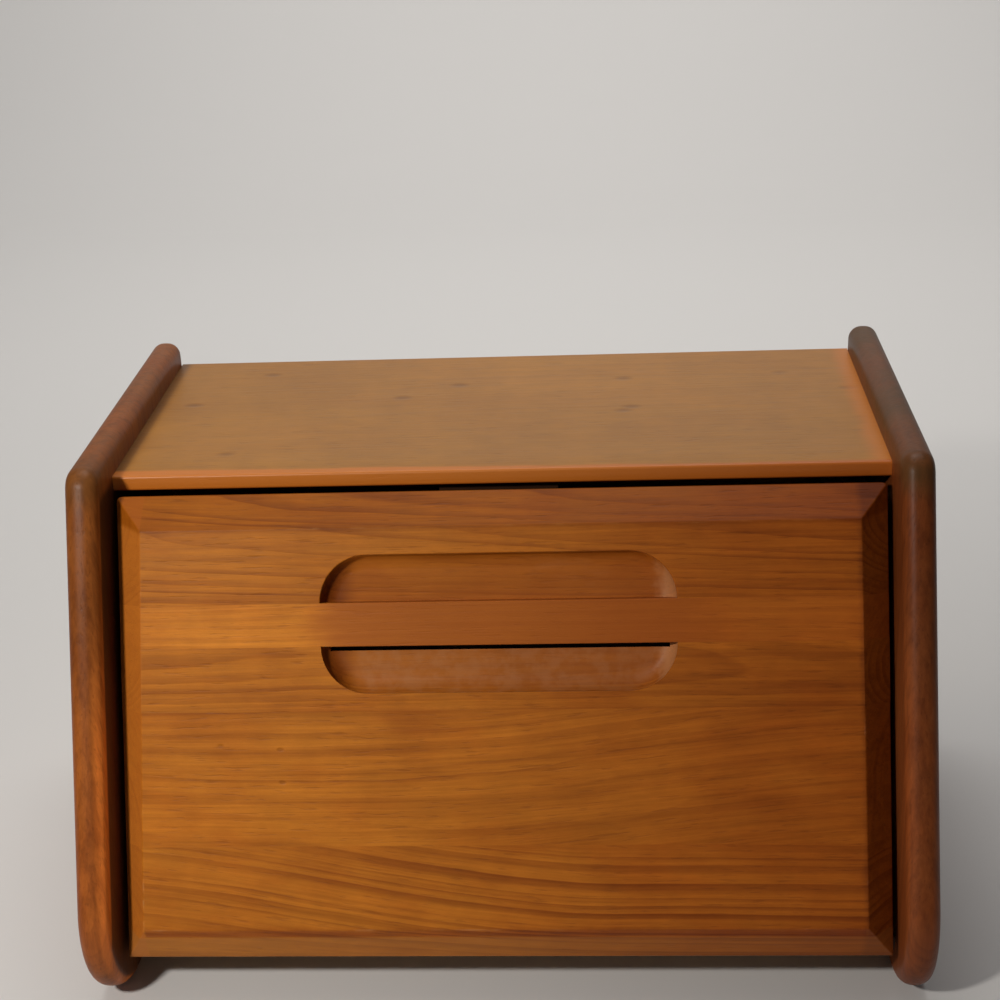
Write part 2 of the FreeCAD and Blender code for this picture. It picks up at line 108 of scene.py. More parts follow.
class BreadBoxColours(bpy.types.PropertyGroup):
    """Colours of the woods, the metal and the floor"""
    front_light: tint("Front, pale", "Early wood of the drawer front", (0.49, 0.162, 0.013))
    front_dark: tint("Front, dark", "Late wood of the drawer front", (0.195, 0.043, 0.003))
    golden_light: tint("Golden, pale", "Pale wood of the grip rail", (0.60, 0.205, 0.018))
    golden_dark: tint("Golden, dark", "Dark lines of the grip rail", (0.26, 0.060, 0.006))
    side_light: tint("Sides, pale", "Pale wood of the sides", (0.35, 0.098, 0.015))
    side_dark: tint("Sides, dark", "Dark lines of the sides", (0.13, 0.028, 0.005))
    top_light: tint("Top, pale", "Pale wood of the top", (0.365, 0.150, 0.013))
    top_dark: tint("Top, dark", "Dark lines of the top", (0.22, 0.074, 0.007))
    inner_light: tint("Inner wood, pale", "Boards inside the case", (0.60, 0.40, 0.22))
    inner_dark: tint("Inner wood, dark", "Lines of the boards inside", (0.40, 0.22, 0.10))
    ply_light: tint("Plywood, pale", "Face of the plywood", (0.66, 0.48, 0.29))
    ply_dark: tint("Plywood, dark", "Lines of the plywood", (0.50, 0.32, 0.17))
    dowel_light: tint("Dowel, pale", "Wood of the dowels", (0.68, 0.49, 0.30))
    dowel_dark: tint("Dowel, dark", "Lines of the dowels", (0.52, 0.34, 0.19))
    # painted shade: the stop block is made nearly black, to stay dark in the gap above the drawer
    # front
    stop_painted_shade_pale: tint("Stop block, pale", "Dark wood of the stop block", (0.042, 0.018, 0.008))
    stop_painted_shade_dark: tint("Stop block, dark", "Dark lines of the stop block", (0.020, 0.009, 0.005))
    edge: tint("Front edge of the top", "Unworn finish on the front edge of the top",
               (0.56, 0.165, 0.018))
    bevel: tint("Left bevel", "Plain wood of the left bevel", (0.47, 0.135, 0.018))
    handled: tint("Handled wood", "Wood browned by hands at the pull", (0.34, 0.088, 0.010))
    # painted shade: darker copies of the side colours for the right side
    right_side_shaded_pale: tint("Right side, pale", "Pale wood of the right side", (0.215, 0.056, 0.013))
    right_side_shaded_dark: tint("Right side, dark", "Dark lines of the right side", (0.085, 0.020, 0.005))
    worn: tint("Worn arris", "Wood where the finish has worn off an arris", (0.70, 0.42, 0.20))
    steel: tint("Screw steel", "Zinc-plated screws", (0.62, 0.60, 0.55))
    floor: tint("Floor", "Paper floor and backdrop", (0.68, 0.672, 0.660))


def sizes():
    return bpy.context.scene.bread_box_sizes


def colours():
    return bpy.context.scene.bread_box_colours


# ---------------------------------------------------------------- finishes
class Finish:
    """A material under construction, with short calls for the nodes that it is made of."""

    def __init__(self, name):
        self.material = bpy.data.materials.new(name)
        self.material.use_nodes = True
        self.nodes = self.material.node_tree.nodes
        self.links = self.material.node_tree.links
        self.shader = next(n for n in self.nodes if n.type == "BSDF_PRINCIPLED")

    def add(self, kind, **settings):
        node = self.nodes.new(kind)
        for key, value in settings.items():
            setattr(node, key, value)
        return node

    def feed(self, socket, value):
        if isinstance(value, bpy.types.NodeSocket):
            self.links.new(value, socket)
        elif value is not None:
            socket.default_value = value

    def math(self, operation, first, second=None, third=None, clamp=False):
        node = self.add("ShaderNodeMath", operation=operation, use_clamp=clamp)
        for socket, value in zip(node.inputs, (first, second, third)):
            self.feed(socket, value)
        return node.outputs[0]

    def vector(self, operation, first, second=None, third=None):
        node = self.add("ShaderNodeVectorMath", operation=operation)
        sockets = [node.inputs["Scale"]] if operation == "SCALE" else node.inputs[1:3]
        self.feed(node.inputs[0], first)
        for socket, value in zip(sockets, (second, third)):
            self.feed(socket, value)
        return node.outputs["Value" if operation in ("LENGTH", "DOT_PRODUCT") else "Vector"]

    def noise(self, where, scale, shift=(0, 0, 0), detail=2.0, rough=0.5, colour=False):
        node = self.add("ShaderNodeTexNoise", noise_dimensions="3D")
        self.feed(node.inputs["Vector"], self.vector("MULTIPLY_ADD", where, scale, shift))
        node.inputs["Scale"].default_value = 1.0
        node.inputs["Detail"].default_value = detail
        node.inputs["Roughness"].default_value = rough
        return node.outputs["Color" if colour else "Fac"]

    def steps(self, value, low, high, from_value=0.0, to_value=1.0):
        """A soft passage between two values, from the low end to the high end."""
        node = self.add("ShaderNodeMapRange", interpolation_type="SMOOTHSTEP")
        for socket, item in zip(node.inputs, (value, low, high, from_value, to_value)):
            self.feed(socket, item)
        return node.outputs[0]

    def blend(self, factor, first, second, kind="MIX"):
        """Two colours mixed by the factor; each is a socket or a plain colour."""
        node = self.add("ShaderNodeMix", data_type="RGBA", blend_type=kind)
        self.feed(node.inputs[0], factor)
        for socket, value in zip(node.inputs[6:8], (first, second)):
            plain = not isinstance(value, bpy.types.NodeSocket)
            self.feed(socket, (*value, 1.0) if plain else value)
        return node.outputs[2]

    def here(self):
        """Where the surface is on the piece."""
        return self.add("ShaderNodeTexCoord").outputs["Object"]

    def split(self, vector):
        node = self.add("ShaderNodeSeparateXYZ")
        self.feed(node.inputs[0], vector)
        return node.outputs

    def grey(self, value):
        node = self.add("ShaderNodeCombineColor")
        for socket in node.inputs[:3]:
            self.feed(socket, value)
        return node.outputs[0]

    def times(self, first, *others):
        """The product of all values, taken from left to right."""
        for other in others:
            first = self.math("MULTIPLY", first, other)
        return first

    def mul_add(self, value, factor, more):
        return self.math("MULTIPLY_ADD", value, factor, more)

    def fade(self, value, low, high):
        """One below the low end and nothing above the high end."""
        return self.steps(value, low, high, 1.0, 0.0)

    def dim(self, factor, colour, filtering):
        """The colour seen through another one, by the factor."""
        return self.blend(factor, colour, filtering, "MULTIPLY")

    def emboss(self, height, strength, distance):
        """Fine relief from a height."""
        bump = self.add("ShaderNodeBump")
        bump.inputs["Strength"].default_value = strength
        bump.inputs["Distance"].default_value = distance
        self.feed(bump.inputs["Height"], height)
        self.feed(self.shader.inputs["Normal"], bump.outputs["Normal"])

    def ramp(self, value, stops):
        node = self.add("ShaderNodeValToRGB")
        node.color_ramp.interpolation = "EASE"
        points = node.color_ramp.elements
        while len(points) < len(stops):
            points.new(0.5)
        for point, (place, shade) in zip(points, stops):
            point.position = place
            point.color = (shade, shade, shade, 1.0)
        self.feed(node.inputs[0], value)
        return node.outputs[0]


def wood(name, light, dark, turn=(0, 0, 0), origin=(0, 0, 0), pith=(0.03, 0.0), rise=(0.03, 0.0),
         ring=0.0036, wander=0.008, sweep=None, rings=0.75, streaks=0.45,
         fibres=0.30, silk=0.10, marks=0.0, scuffs=0.0, seed=1.0, gloss=0.36, coat=0.3,
         coat_rough=0.22, relief=0.25, shine=0.3, patches=0.55, dents=(0.03, 0.085, 0.7),
         marks_and_painted_light=None):
    """Sawn and varnished wood: growth rings round a pith that runs askew through the plank,
    so that a face shows long cathedral loops, with streaks, fibres, pores and wear over them."""
    f = Finish(name)
    light, dark = tuple(light), tuple(dark)
    here = f.here()
    place = f.add("ShaderNodeMapping", vector_type="TEXTURE")
    place.inputs["Location"].default_value = origin
    place.inputs["Rotation"].default_value = turn
    f.feed(place.inputs["Vector"], here)
    grain = place.outputs[0]
    far = (seed * 3.7, seed * 5.3, seed * 7.1)
    along = f.split(grain)["X"]

    drift = f.noise(grain, (2.2, 13, 13), far, 2.0, 0.45, colour=True)
    drift = f.vector("MULTIPLY_ADD", drift, (0, wander * 2, wander * 2), (0, -wander, -wander))
    ripple = f.noise(grain, (17, 75, 75), far, 2.0, 0.5, colour=True)
    ripple = f.vector("MULTIPLY_ADD", ripple, (0, wander * 0.22, wander * 0.22),
                      (0, -wander * 0.11, -wander * 0.11))
    bent = f.vector("ADD", f.vector("ADD", grain, drift), ripple)
    if sweep:
        begin, end, shift = sweep
        slide = f.steps(along, begin, end, 0.0, shift)
        bent = f.vector("ADD", bent, f.vector("SCALE", (0.0, 0.0, 1.0), slide))
    heart = f.vector("SCALE", (0.0, rise[0], rise[1]), along)
    heart = f.vector("ADD", heart, (0.0, pith[0], pith[1]))
    reach = f.vector("MULTIPLY", f.vector("SUBTRACT", bent, heart), (0, 1, 1))
    reach = f.vector("LENGTH", reach)
    count = f.math("DIVIDE", reach, ring)
    swing = f.add("ShaderNodeTexNoise", noise_dimensions="1D")
    f.feed(swing.inputs["W"], f.mul_add(count, 0.55, seed))
    swing.inputs["Scale"].default_value = 1.0
    count = f.mul_add(swing.outputs["Fac"], 1.6, count)
    part = f.math("FRACT", count)
    late = f.ramp(part, ((0.0, 0.05), (0.40, 0.12), (0.76, 0.80), (0.90, 1.0), (1.0, 0.05)))
    lot = f.add("ShaderNodeTexWhiteNoise", noise_dimensions="1D")
    f.feed(lot.inputs["W"], f.math("FLOOR", count))
    late = f.times(late, f.mul_add(lot.outputs["Value"], 0.60, 0.40))
    strength = f.steps(f.noise(grain, (4, 22, 22), far, 2.0), 0.32, 0.68, 0.35, 1.0)
    late = f.times(late, strength)

    streak = f.steps(f.noise(bent, (2.0, 210, 210), far, 4.0, 0.6), 0.40, 0.72)
    fibre = f.noise(bent, (16, 700, 700), far, 4.0, 0.68)
    pore = f.steps(f.noise(bent, (75, 850, 850), far, 2.0), 0.58, 0.72)
    cloud = f.noise(grain, (4.5, 11, 11), far, 2.0)
    shimmer = f.noise(grain, (34, 9, 9), far, 2.0, 0.5)
    mottle = f.noise(grain, (70, 120, 120), far, 3.0, 0.6)
    patch = f.steps(f.noise(grain, (13, 30, 30), (far[2], far[0], far[1]), 4.0, 0.62), 0.36, 0.68)

    colour = f.blend(f.times(late, rings), light, dark)
    deep = tuple(c * 0.62 for c in dark)
    colour = f.blend(f.times(streak, streaks), colour, dark)
    tone = f.mul_add(fibre, fibres * 2, 1.0 - fibres)
    tone = f.times(tone, f.mul_add(cloud, 0.36, 0.82))
    tone = f.times(tone, f.mul_add(shimmer, silk * 2, 1.0 - silk))
    tone = f.times(tone, f.mul_add(mottle, 0.30, 0.85))
    colour = f.dim(1.0, colour, f.grey(tone))
    colour = f.dim(f.times(patch, patches), colour, (0.80, 0.64, 0.50))
    colour = f.blend(f.times(pore, 0.27), colour, deep)
    rough = f.mul_add(fibre, 0.16, gloss - 0.08)
    height = f.mul_add(pore, -0.7, f.times(fibre, 0.8))
    height = f.mul_add(late, 0.35, height)

    if marks:
        spot = f.add("ShaderNodeTexVoronoi", feature="F1")
        spot.inputs["Scale"].default_value = 1.0
        f.feed(spot.inputs["Vector"], f.vector("MULTIPLY_ADD", grain, (34, 60, 60), far))
        pick = f.add("ShaderNodeSeparateColor")
        f.feed(pick.inputs[0], spot.outputs["Color"])
        dent = f.fade(spot.outputs["Distance"], dents[0], dents[1])
        dent = f.times(dent, f.steps(pick.outputs[0], dents[2], dents[2] + 0.2))
        colour = f.blend(f.times(dent, marks), colour, deep)
        height = f.mul_add(dent, -2.2, height)
    if scuffs:
        rubbed_and_painted_light = f.steps(f.noise(grain, (9, 26, 26), (far[1], far[0], 2.0), 5.0, 0.68), 0.60, 0.74)
        rubbed_and_painted_light = f.times(rubbed_and_painted_light, scuffs)
        colour = f.blend(rubbed_and_painted_light, colour, colours().worn)
        rough = f.mul_add(rubbed_and_painted_light, 0.25, rough)
    arris = f.add("ShaderNodeAttribute", attribute_name="arris", attribute_type="GEOMETRY")
    bare = f.steps(f.noise(grain, (38, 120, 120), far, 4.0, 0.6), 0.52, 0.72, 0.0, 0.35)
    bare = f.times(bare, arris.outputs["Fac"])
    colour = f.blend(bare, colour, tuple(0.5 * (a + b) for a, b in zip(light, colours().worn)))

    # marks, and the painted light and shade that the cover gives
    if marks_and_painted_light:
        colour = marks_and_painted_light(f, here, grain, colour)

    f.emboss(height, relief, 0.0004)
    f.feed(f.shader.inputs["Base Color"], colour)
    f.feed(f.shader.inputs["Roughness"], rough)
    f.shader.inputs["Specular IOR Level"].default_value = shine
    f.shader.inputs["Coat Weight"].default_value = coat
    f.shader.inputs["Coat Roughness"].default_value = coat_rough
    f.shader.inputs["Coat IOR"].default_value = 1.46
    return f.material


PAINTED_SHADE_BLACK = (0.012, 0.006, 0.003)     # near black, painted where shade falls: the slot under the rail and the front edge of the base


def toe_line():
    """Where the leaning front line of the sides meets the floor."""
    s = sizes()
    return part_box("side_left")[0].y - s.foot_radius * (math.tan(s.lean) + 1 / math.cos(s.lean) - 1)


def side_marks_and_painted_light(hand):
    """Painted shade on the inner face behind the nosing, painted light on the inner rounding of the
    side, the side darker high up and near the foot close to its front, and the top edge greyer.
    """
    inner_painted_shade, rubbed_and_painted_light, browned, greyed = {-1: (0.85, 2.2, 1.0, 0.45), 1: (0.0, 1.4, 0.3, 0.80)}[hand]
    slope = math.tan(sizes().lean)
    line = toe_line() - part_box("side_left")[0].z * slope

    def cover(f, here, grain, colour):
        at = f.split(here)
        cloud = f.noise(here, (20, 20, 20), (hand, 3, 7), 3.0, 0.6)
        off = f.mul_add(cloud, 0.0004, f.math("ABSOLUTE", at["X"]))
        behind = f.mul_add(at["Z"], -slope, at["Y"])
        # painted shade: the inner face behind the nosing made nearly black
        stain_and_painted_shade = f.times(f.fade(off, 0.1943, 0.1950), f.fade(at["Z"], 0.2470, 0.2530),
                        f.steps(behind, line + 0.0085, line + 0.0115))
        colour = f.blend(f.times(stain_and_painted_shade, inner_painted_shade), colour, (0.020, 0.008, 0.004))
        # painted light: the inner rounding of the side made lighter, most at mid height
        painted_light_inner_rounding = f.times(f.fade(off, 0.1960, 0.2000), f.steps(at["Z"], 0.0, 0.11, 0.55, 1.0),
                         f.steps(at["Z"], 0.13, 0.21, 1.0, 0.1))
        brown = f.math("MAXIMUM", f.steps(at["Z"], 0.145, 0.205),
                       f.steps(at["Z"], 0.02, 0.06, 0.8, 0.0))
        brown = f.times(brown, f.fade(behind, line + 0.012, line + 0.035), browned)
        colour = f.dim(brown, colour, (0.74, 0.80, 0.95))
        colour = f.dim(painted_light_inner_rounding, colour, (rubbed_and_painted_light, rubbed_and_painted_light, rubbed_and_painted_light))
        greyer_top_edge = f.times(f.steps(at["Z"], 0.2440, 0.2600), f.steps(cloud, 0.25, 0.70, 0.45, 1.0),
                        greyed)
        return f.blend(greyer_top_edge, colour, (0.070, 0.042, 0.014))
    return cover


def top_marks_and_painted_shade(front):
    """The finish still orange along the front edge of the top, worn pale behind it, and an orange
    strip beside the right side; a painted shadow of the left side on the top, and painted shade on
    the orange edge towards the right.
    """
    edge = colours().edge

    def cover(f, here, grain, colour):
        at = f.split(here)
        cloud = f.noise(here, (30, 30, 30), (5, 3, 7), 4.0, 0.65)
        reach = f.steps(at["X"], -0.19, 0.16, 0.0065, 0.0025)
        back = f.math("SUBTRACT", f.math("SUBTRACT", at["Y"], front), reach)
        kept = f.fade(f.mul_add(cloud, -0.004, back), -0.0035, 0.0)
        # painted shadow of the left side along the top
        corner = f.steps(at["X"], -0.1930, -0.1855, 0.75, 0.0)
        colour = f.dim(corner, colour, (0.30, 0.24, 0.22))
        beside = f.steps(f.mul_add(cloud, 0.006, at["X"]), 0.1840, 0.1930, 0.0, 0.6)
        colour = f.blend(beside, colour, edge)
        colour = f.blend(f.times(kept, 0.85), colour, edge)
        # painted shade: the orange front edge darker towards the right
        painted_shade_to_right = f.times(kept, f.steps(at["X"], -0.05, 0.19))
        return f.dim(painted_shade_to_right, colour, (0.80, 0.68, 0.66))
    return cover


def base_painted_shade(front):
    """Painted shade: the front edge of the base made nearly black behind the drawer front."""
    def cover(f, here, grain, colour):
        behind = f.math("SUBTRACT", f.split(here)["Y"], front)
        return f.blend(f.steps(behind, 0.002, 0.012, 0.95, 0.0), colour, PAINTED_SHADE_BLACK)
    return cover


def bevel_marks_and_painted_light(f, here, grain, colour):
    """Over the front boards: painted shade on the right bevel and across the boards towards the
    right, plain wood on the left bevel, a darker red band along the bottom, a darker, warmer band
    along the top and a painted reflection of the floor on the bottom bevel.
    """
    at = f.split(here)
    field = (0.0473, 0.2312)    # heights between which the raised field lies
    ragged = f.noise(here, (60, 60, 60), (2, 9, 4), 4.0, 0.7)
    right, left = f.steps(at["X"], 0.0, 0.001), f.fade(at["X"], -0.001, 0.0)
    more = f.times(f.steps(at["Z"], *field, 0.0030, 0.0), right)
    out = f.math("ADD", f.steps(at["Z"], *field, 0.0, 0.0036), more)
    out = f.math("ADD", f.math("ABSOLUTE", at["X"]), out)
    # painted shade: the right bevel made darker
    east = f.times(right, f.steps(f.mul_add(ragged, 0.007, out), 0.1805, 0.1850), 0.85)
    colour = f.dim(east, colour, (0.56, 0.50, 0.75))
    west = f.times(left, f.steps(out, 0.1798, 0.1806), 0.65)
    colour = f.blend(west, colour, colours().bevel)
    foot = f.mul_add(ragged, 0.004, at["Z"])
    red = f.times(f.steps(at["Z"], 0.0415, 0.0435), f.fade(out, 0.1790, 0.1802),
                  f.fade(foot, 0.0470, 0.0515), 0.80)
    colour = f.dim(red, colour, (0.68, 0.50, 0.50))
    colour = f.dim(f.steps(at["Z"], 0.2300, 0.2330), colour, (0.70, 0.61, 0.28))
    # painted reflection of the pale floor on the lower part of the bottom bevel
    base = f.steps(at["Z"], 0.0412, 0.0425, 0.45, 0.0)
    colour = f.blend(base, colour, (0.36, 0.145, 0.035))
    # painted shade: the boards darker towards the right
    return f.dim(f.steps(at["X"], -0.12, 0.19), colour, (0.76, 0.60, 0.55))


def rail_marks_and_painted_light(f, here, grain, colour):
    """The rail is browned by hands wherever the pull is, and stays golden at its left end; the marks
    and painted light of the front go over that.
    """
    at = f.split(here)
    cloud = f.noise(grain, (14, 60, 60), (3, 1, 2), 3.0, 0.6)
    handled = f.times(f.steps(f.mul_add(cloud, 0.05, at["X"]), -0.078, -0.052),
                      f.steps(at["X"], 0.080, 0.120, 0.80, 0.30))
    colour = f.blend(handled, colour, colours().handled)
    return bevel_marks_and_painted_light(f, here, grain, colour)


def pull_marks_and_painted_light(f, here, grain, colour):
    """Browned wood in the scoops, painted shade on their left ends and deep in the slot under the
    rail, a painted highlight on their right ends and a painted sheen in the lower scoop.
    """
    at = f.split(grain)
    within = f.times(f.fade(f.math("ABSOLUTE", at["X"]), 0.0890, 0.0900),
                     f.fade(at["Z"], 0.2030, 0.2040))
    deep = f.times(f.steps(at["Y"], 0.0020, 0.0075), within, 0.42)
    colour = f.blend(deep, colour, colours().handled)
    wall = f.times(f.steps(at["Y"], 0.0004, 0.0012), within)
    # painted shade on the left ends of the scoops
    west = f.steps(at["X"], -0.0815, -0.0690, 0.85, 0.0)
    colour = f.dim(f.times(wall, west), colour, (0.42, 0.30, 0.32))
    cloud = f.noise(grain, (120, 120, 120), (1, 6, 2), 3.0, 0.6)
    # painted highlight on the right ends of the scoops, in the pale colour of worn wood
    east = f.steps(f.mul_add(cloud, 0.012, at["X"]), 0.0810, 0.0890, 0.0, 0.45)
    colour = f.blend(f.times(wall, east), colour, colours().worn)
    # painted sheen in the lower scoop
    under = f.times(wall, f.fade(at["Z"], 0.1560, 0.1570), f.steps(cloud, 0.35, 0.65, 0.10, 0.42),
                    f.steps(at["X"], -0.075, -0.066))
    colour = f.blend(under, colour, (0.46, 0.20, 0.075))
    # painted shade: the slot under the rail made nearly black
    height = f.times(f.steps(at["Z"], 0.1500, 0.1530), f.fade(at["Z"], 0.1640, 0.1650))
    slot = f.times(f.steps(at["Y"], 0.0088, 0.0102), within, height, 0.93)
    colour = f.blend(slot, colour, PAINTED_SHADE_BLACK)
    return bevel_marks_and_painted_light(f, here, grain, colour)


def plated_steel():
    """Zinc-plated steel with the fine marks of drawing and driving."""
    f = Finish("screw_steel")
    here = f.here()
    stain_and_painted_shade = f.noise(here, (420, 420, 420), (1, 2, 3), 4.0, 0.6)
    brushed = f.noise(here, (2600, 2600, 2600), (4, 1, 2), 2.0)
    steel = tuple(colours().steel)
    colour = f.blend(f.steps(stain_and_painted_shade, 0.35, 0.7), steel, tuple(c * 0.62 for c in steel))
    f.feed(f.shader.inputs["Base Color"], colour)
    f.feed(f.shader.inputs["Roughness"], f.mul_add(brushed, 0.22, 0.22))
    f.shader.inputs["Metallic"].default_value = 1.0
    f.emboss(brushed, 0.15, 0.0001)
    return f.material


def paper():
    """Matt paper of the floor, very slightly uneven."""
    f = Finish("studio_paper")
    here = f.here()
    mottle = f.noise(here, (3, 3, 3), (5, 5, 5), 3.0)
    tooth = f.noise(here, (900, 900, 900), (0, 0, 0), 2.0)
    pale = tuple(colours().floor)
    colour = f.blend(f.times(mottle, 0.12), pale, tuple(c * 0.9 for c in pale))
    f.feed(f.shader.inputs["Base Color"], colour)
    f.shader.inputs["Roughness"].default_value = 0.9
    f.shader.inputs["Specular IOR Level"].default_value = 0.15
    f.emboss(tooth, 0.06, 0.0005)
    return f.material


# ---------------------------------------------------------------- mesh work
TINY = 1e-6     # points this near to a plane lie in it
WELD = 1e-7     # points this near to each other are one


def piece_from(name, bm, material, smooth=True):
    """A new object from a closed mesh whose faces are turned outwards."""
    bmesh.ops.recalc_face_normals(bm, faces=bm.faces)
    for face in bm.faces:
        face.smooth = smooth
    mesh = bpy.data.meshes.new(name)
    bm.to_mesh(mesh)
    bm.free()
    mesh.materials.append(material)
    piece = bpy.data.objects.new(name, mesh)
    bpy.context.scene.collection.objects.link(piece)
    return piece


def settle(piece):
    """Turn the evaluated piece into a plain mesh, with its eased arrises marked for the finish."""
    bpy.context.view_layer.update()
    evaluated = piece.evaluated_get(bpy.context.evaluated_depsgraph_get())
    mesh = bpy.data.meshes.new_from_object(evaluated)
    piece.modifiers.clear()
    old = piece.data
    piece.data = mesh
    mesh.name = piece.name
    bpy.data.meshes.remove(old)
    mark = mesh.attributes.new("arris", "FLOAT", "CORNER")
    for polygon in mesh.polygons:
        if polygon.material_index == 1:
            for corner in polygon.loop_indices:
                mark.data[corner].value = 1.0
            polygon.material_index = 0
    while len(mesh.materials) > 1:
        mesh.materials.pop()
    return piece


def weigh_edges(bm, keep_sharp, angle=math.radians(28)):
    """Every sharp edge is eased, except those that keep_sharp names."""
    weight = bm.edges.layers.float.get("bevel_weight_edge") or \
        bm.edges.layers.float.new("bevel_weight_edge")
    for edge in bm.edges:
        if len(edge.link_faces) == 2 and edge.calc_face_angle(0.0) > angle:
            if keep_sharp(edge):
                edge.smooth = False
            else:
                edge[weight] = 1.0


def ease(piece, width, segments=2):
    """Round the weighted edges a little, as sanding and years of wiping do."""
    piece.data.materials.append(piece.data.materials[0])
    bevel = piece.modifiers.new("eased", "BEVEL")
    bevel.limit_method = "WEIGHT"
    bevel.width = width
    bevel.segments = segments
    bevel.harden_normals = True
    bevel.material = 1
    return settle(piece)


def fit(piece, body, slot, *nodes):
    """Make the piece ride and stand for its nodes; the slot is not used."""
    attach(piece, body)
    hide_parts(*nodes)


def arc(centre, radius, start, stop, count):
    """Points round part of a circle, as pairs."""
    angles = [math.radians(start + (stop - start) * i / count) for i in range(count + 1)]
    return [(centre[0] + radius * math.cos(a), centre[1] + radius * math.sin(a)) for a in angles]


def stack(bm, rings):
    """Walls between rings of equal length; returns the rings as vertices."""
    built = [[bm.verts.new(point) for point in ring] for ring in rings]
    for low, high in zip(built, built[1:]):
        for i in range(len(low)):
            j = (i + 1) % len(low)
            bm.faces.new((low[i], low[j], high[j], high[i]))
    return built


# ---------------------------------------------------------------- the sides
def side_outline(inset):
    """The outline of a side drawn in by the inset, as (y, z) pairs."""
    s = sizes()
    (_, _, low), (_, rear, high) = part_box("side_left")
    tan, cos = math.tan(s.lean), math.cos(s.lean)
    lean = math.degrees(s.lean)
    toe = toe_line()
    crown = toe + (high - low) * tan
    foot_y = toe + s.foot_radius * (tan + 1 / cos)
    drop = s.crown_radius
    crown_y = crown + drop * (1 / cos - tan)
    points = arc((foot_y, low + s.foot_radius), s.foot_radius - inset, 270, 180 - lean, 20)
    points += arc((crown_y, high - drop), drop - inset, 180 - lean, 90, 10)
    points += arc((rear - s.heel_radius, high - s.heel_radius), s.heel_radius - inset, 90, 0, 8)
    points += arc((rear - s.heel_radius, low + s.heel_radius), s.heel_radius - inset, 0, -90, 8)
    return points


class SidesOperator(bpy.types.Operator):
    """Shape both sides with their leaning fronts, round feet and rounded edges"""
    bl_idname = "bread_box.sides"
    bl_label = "Sides"

    def execute(self, context):
        s, c = sizes(), colours()
        round_off, turns = s.edge_round, 8
        collar = 0.0006     # a flat ring between a face and its rounding
        for hand, sign, pale, deep, seed, pith in (
                ("left", -1, c.side_light, c.side_dark, 3.1, (-0.035, -0.03)),
                # the right side takes its darker colours: painted shade
                ("right", 1, c.right_side_shaded_pale, c.right_side_shaded_dark, 7.7, (-0.035, 0.04))):
            node = f"side_{hand}"
            low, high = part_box(node)
            steps = [(0.0, round_off + collar)]
            for i in range(turns + 1):
                a = math.radians(90 * i / turns)
                steps.append((round_off * (1 - math.cos(a)), round_off * (1 - math.sin(a))))
            rings = [(low.x + depth, inset) for depth, inset in steps]
            rings += [(high.x - depth, inset) for depth, inset in reversed(steps)]
            bm = bmesh.new()
            built = stack(bm, [[(x, y, z) for y, z in side_outline(inset)] for x, inset in rings])
            bm.faces.new(built[0])
            bm.faces.new(built[-1])
            finish = wood(f"side_wood_{hand}", pale, deep, marks_and_painted_light=side_marks_and_painted_light(sign),
                          turn=(0, math.radians(-90), 0), origin=(low.x, 0, 0), pith=pith,
                          rise=(0.40, 0.02), ring=0.0044, rings=0.38, streaks=0.5, seed=seed,
                          gloss=0.42, coat=0.08, coat_rough=0.33, scuffs=0.08, shine=0.13,
                          marks=0.4)
            fit(settle(piece_from(f"shaped_side_{hand}", bm, finish)), "case", "side_wood", node)
        return {"FINISHED"}


# ---------------------------------------------------------------- the top
class TopOperator(bpy.types.Operator):
    """Plane the top board, with its two front arrises rounded over"""
    bl_idname = "bread_box.top"
    bl_label = "Top"

    def execute(self, context):
        s, c = sizes(), colours()
        low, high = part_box("top_panel")
        r = s.top_round
        flat = low.y + 0.02     # from here to the back both faces are plain
        crease = math.radians(40)
        outline = [(high.y, low.z), (high.y, high.z), (flat, high.z)]
        outline += arc((low.y + r, high.z - r), r, 90, 180, 6)
        outline += arc((low.y + r, low.z + r), r, 180, 270, 6)
        outline += [(flat, low.z)]
        bm = bmesh.new()
        built = stack(bm, [[(x, y, z) for y, z in outline] for x in (low.x, high.x)])
        bm.faces.new(built[0])
        bm.faces.new(built[-1])
        bmesh.ops.recalc_face_normals(bm, faces=bm.faces)
        for edge in bm.edges:
            if edge.calc_face_angle(0.0) > crease:
                edge.smooth = False
        finish = wood("top_wood", c.top_light, c.top_dark, origin=(0, 0, high.z),
                      pith=(0.02, -0.035), rise=(0.02, 0.03), ring=0.0048, wander=0.012,
                      rings=0.14, streaks=0.16, fibres=0.14, patches=0.15, seed=5.3, gloss=0.42,
                      coat=0.18, coat_rough=0.34, shine=0.25, marks=0.55,
                      dents=(0.05, 0.26, 0.42), scuffs=0.05, marks_and_painted_light=top_marks_and_painted_shade(low.y))
        fit(settle(piece_from("planed_top", bm, finish)), "case", "top_wood", "top_panel")
        return {"FINISHED"}


# ---------------------------------------------------------------- the drawer front
# the lower and the upper joint of each board, up the slope; the top board runs to the end
SHARES = {"bottom": (0.0, 0.0585), "lower": (0.0585, 0.1255), "middle": (0.1255, 0.1575),
          "rail": (0.1575, 0.179), "top": (0.179, None)}
QUARTER = 16        # steps round a quarter turn of the pull's outline
SKIN = 0.001        # this close to the raised field counts as its face
FINE_ARRIS = 0.0004     # the rail's arrises are crisper than those of the boards


def front_frame():
    """Where the front stands: X across, Y into the wood, Z up the slope; and its length."""
    s = sizes()
    tan, cos, sin = math.tan(s.lean), math.cos(s.lean), math.sin(s.lean)
    edge = toe_line() + s.edge_plane / cos
    low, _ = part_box("front_bottom_board")
    lift = low.z + (s.front_thickness - s.bevel_depth) * sin
    under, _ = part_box("top_panel")
    origin = Vector((0, edge + lift * tan - s.bevel_depth * cos, lift + s.bevel_depth * sin))
    return Matrix.Translation(origin) @ Matrix.Rotation(-s.lean, 4, "X"), (under.z - lift) / cos


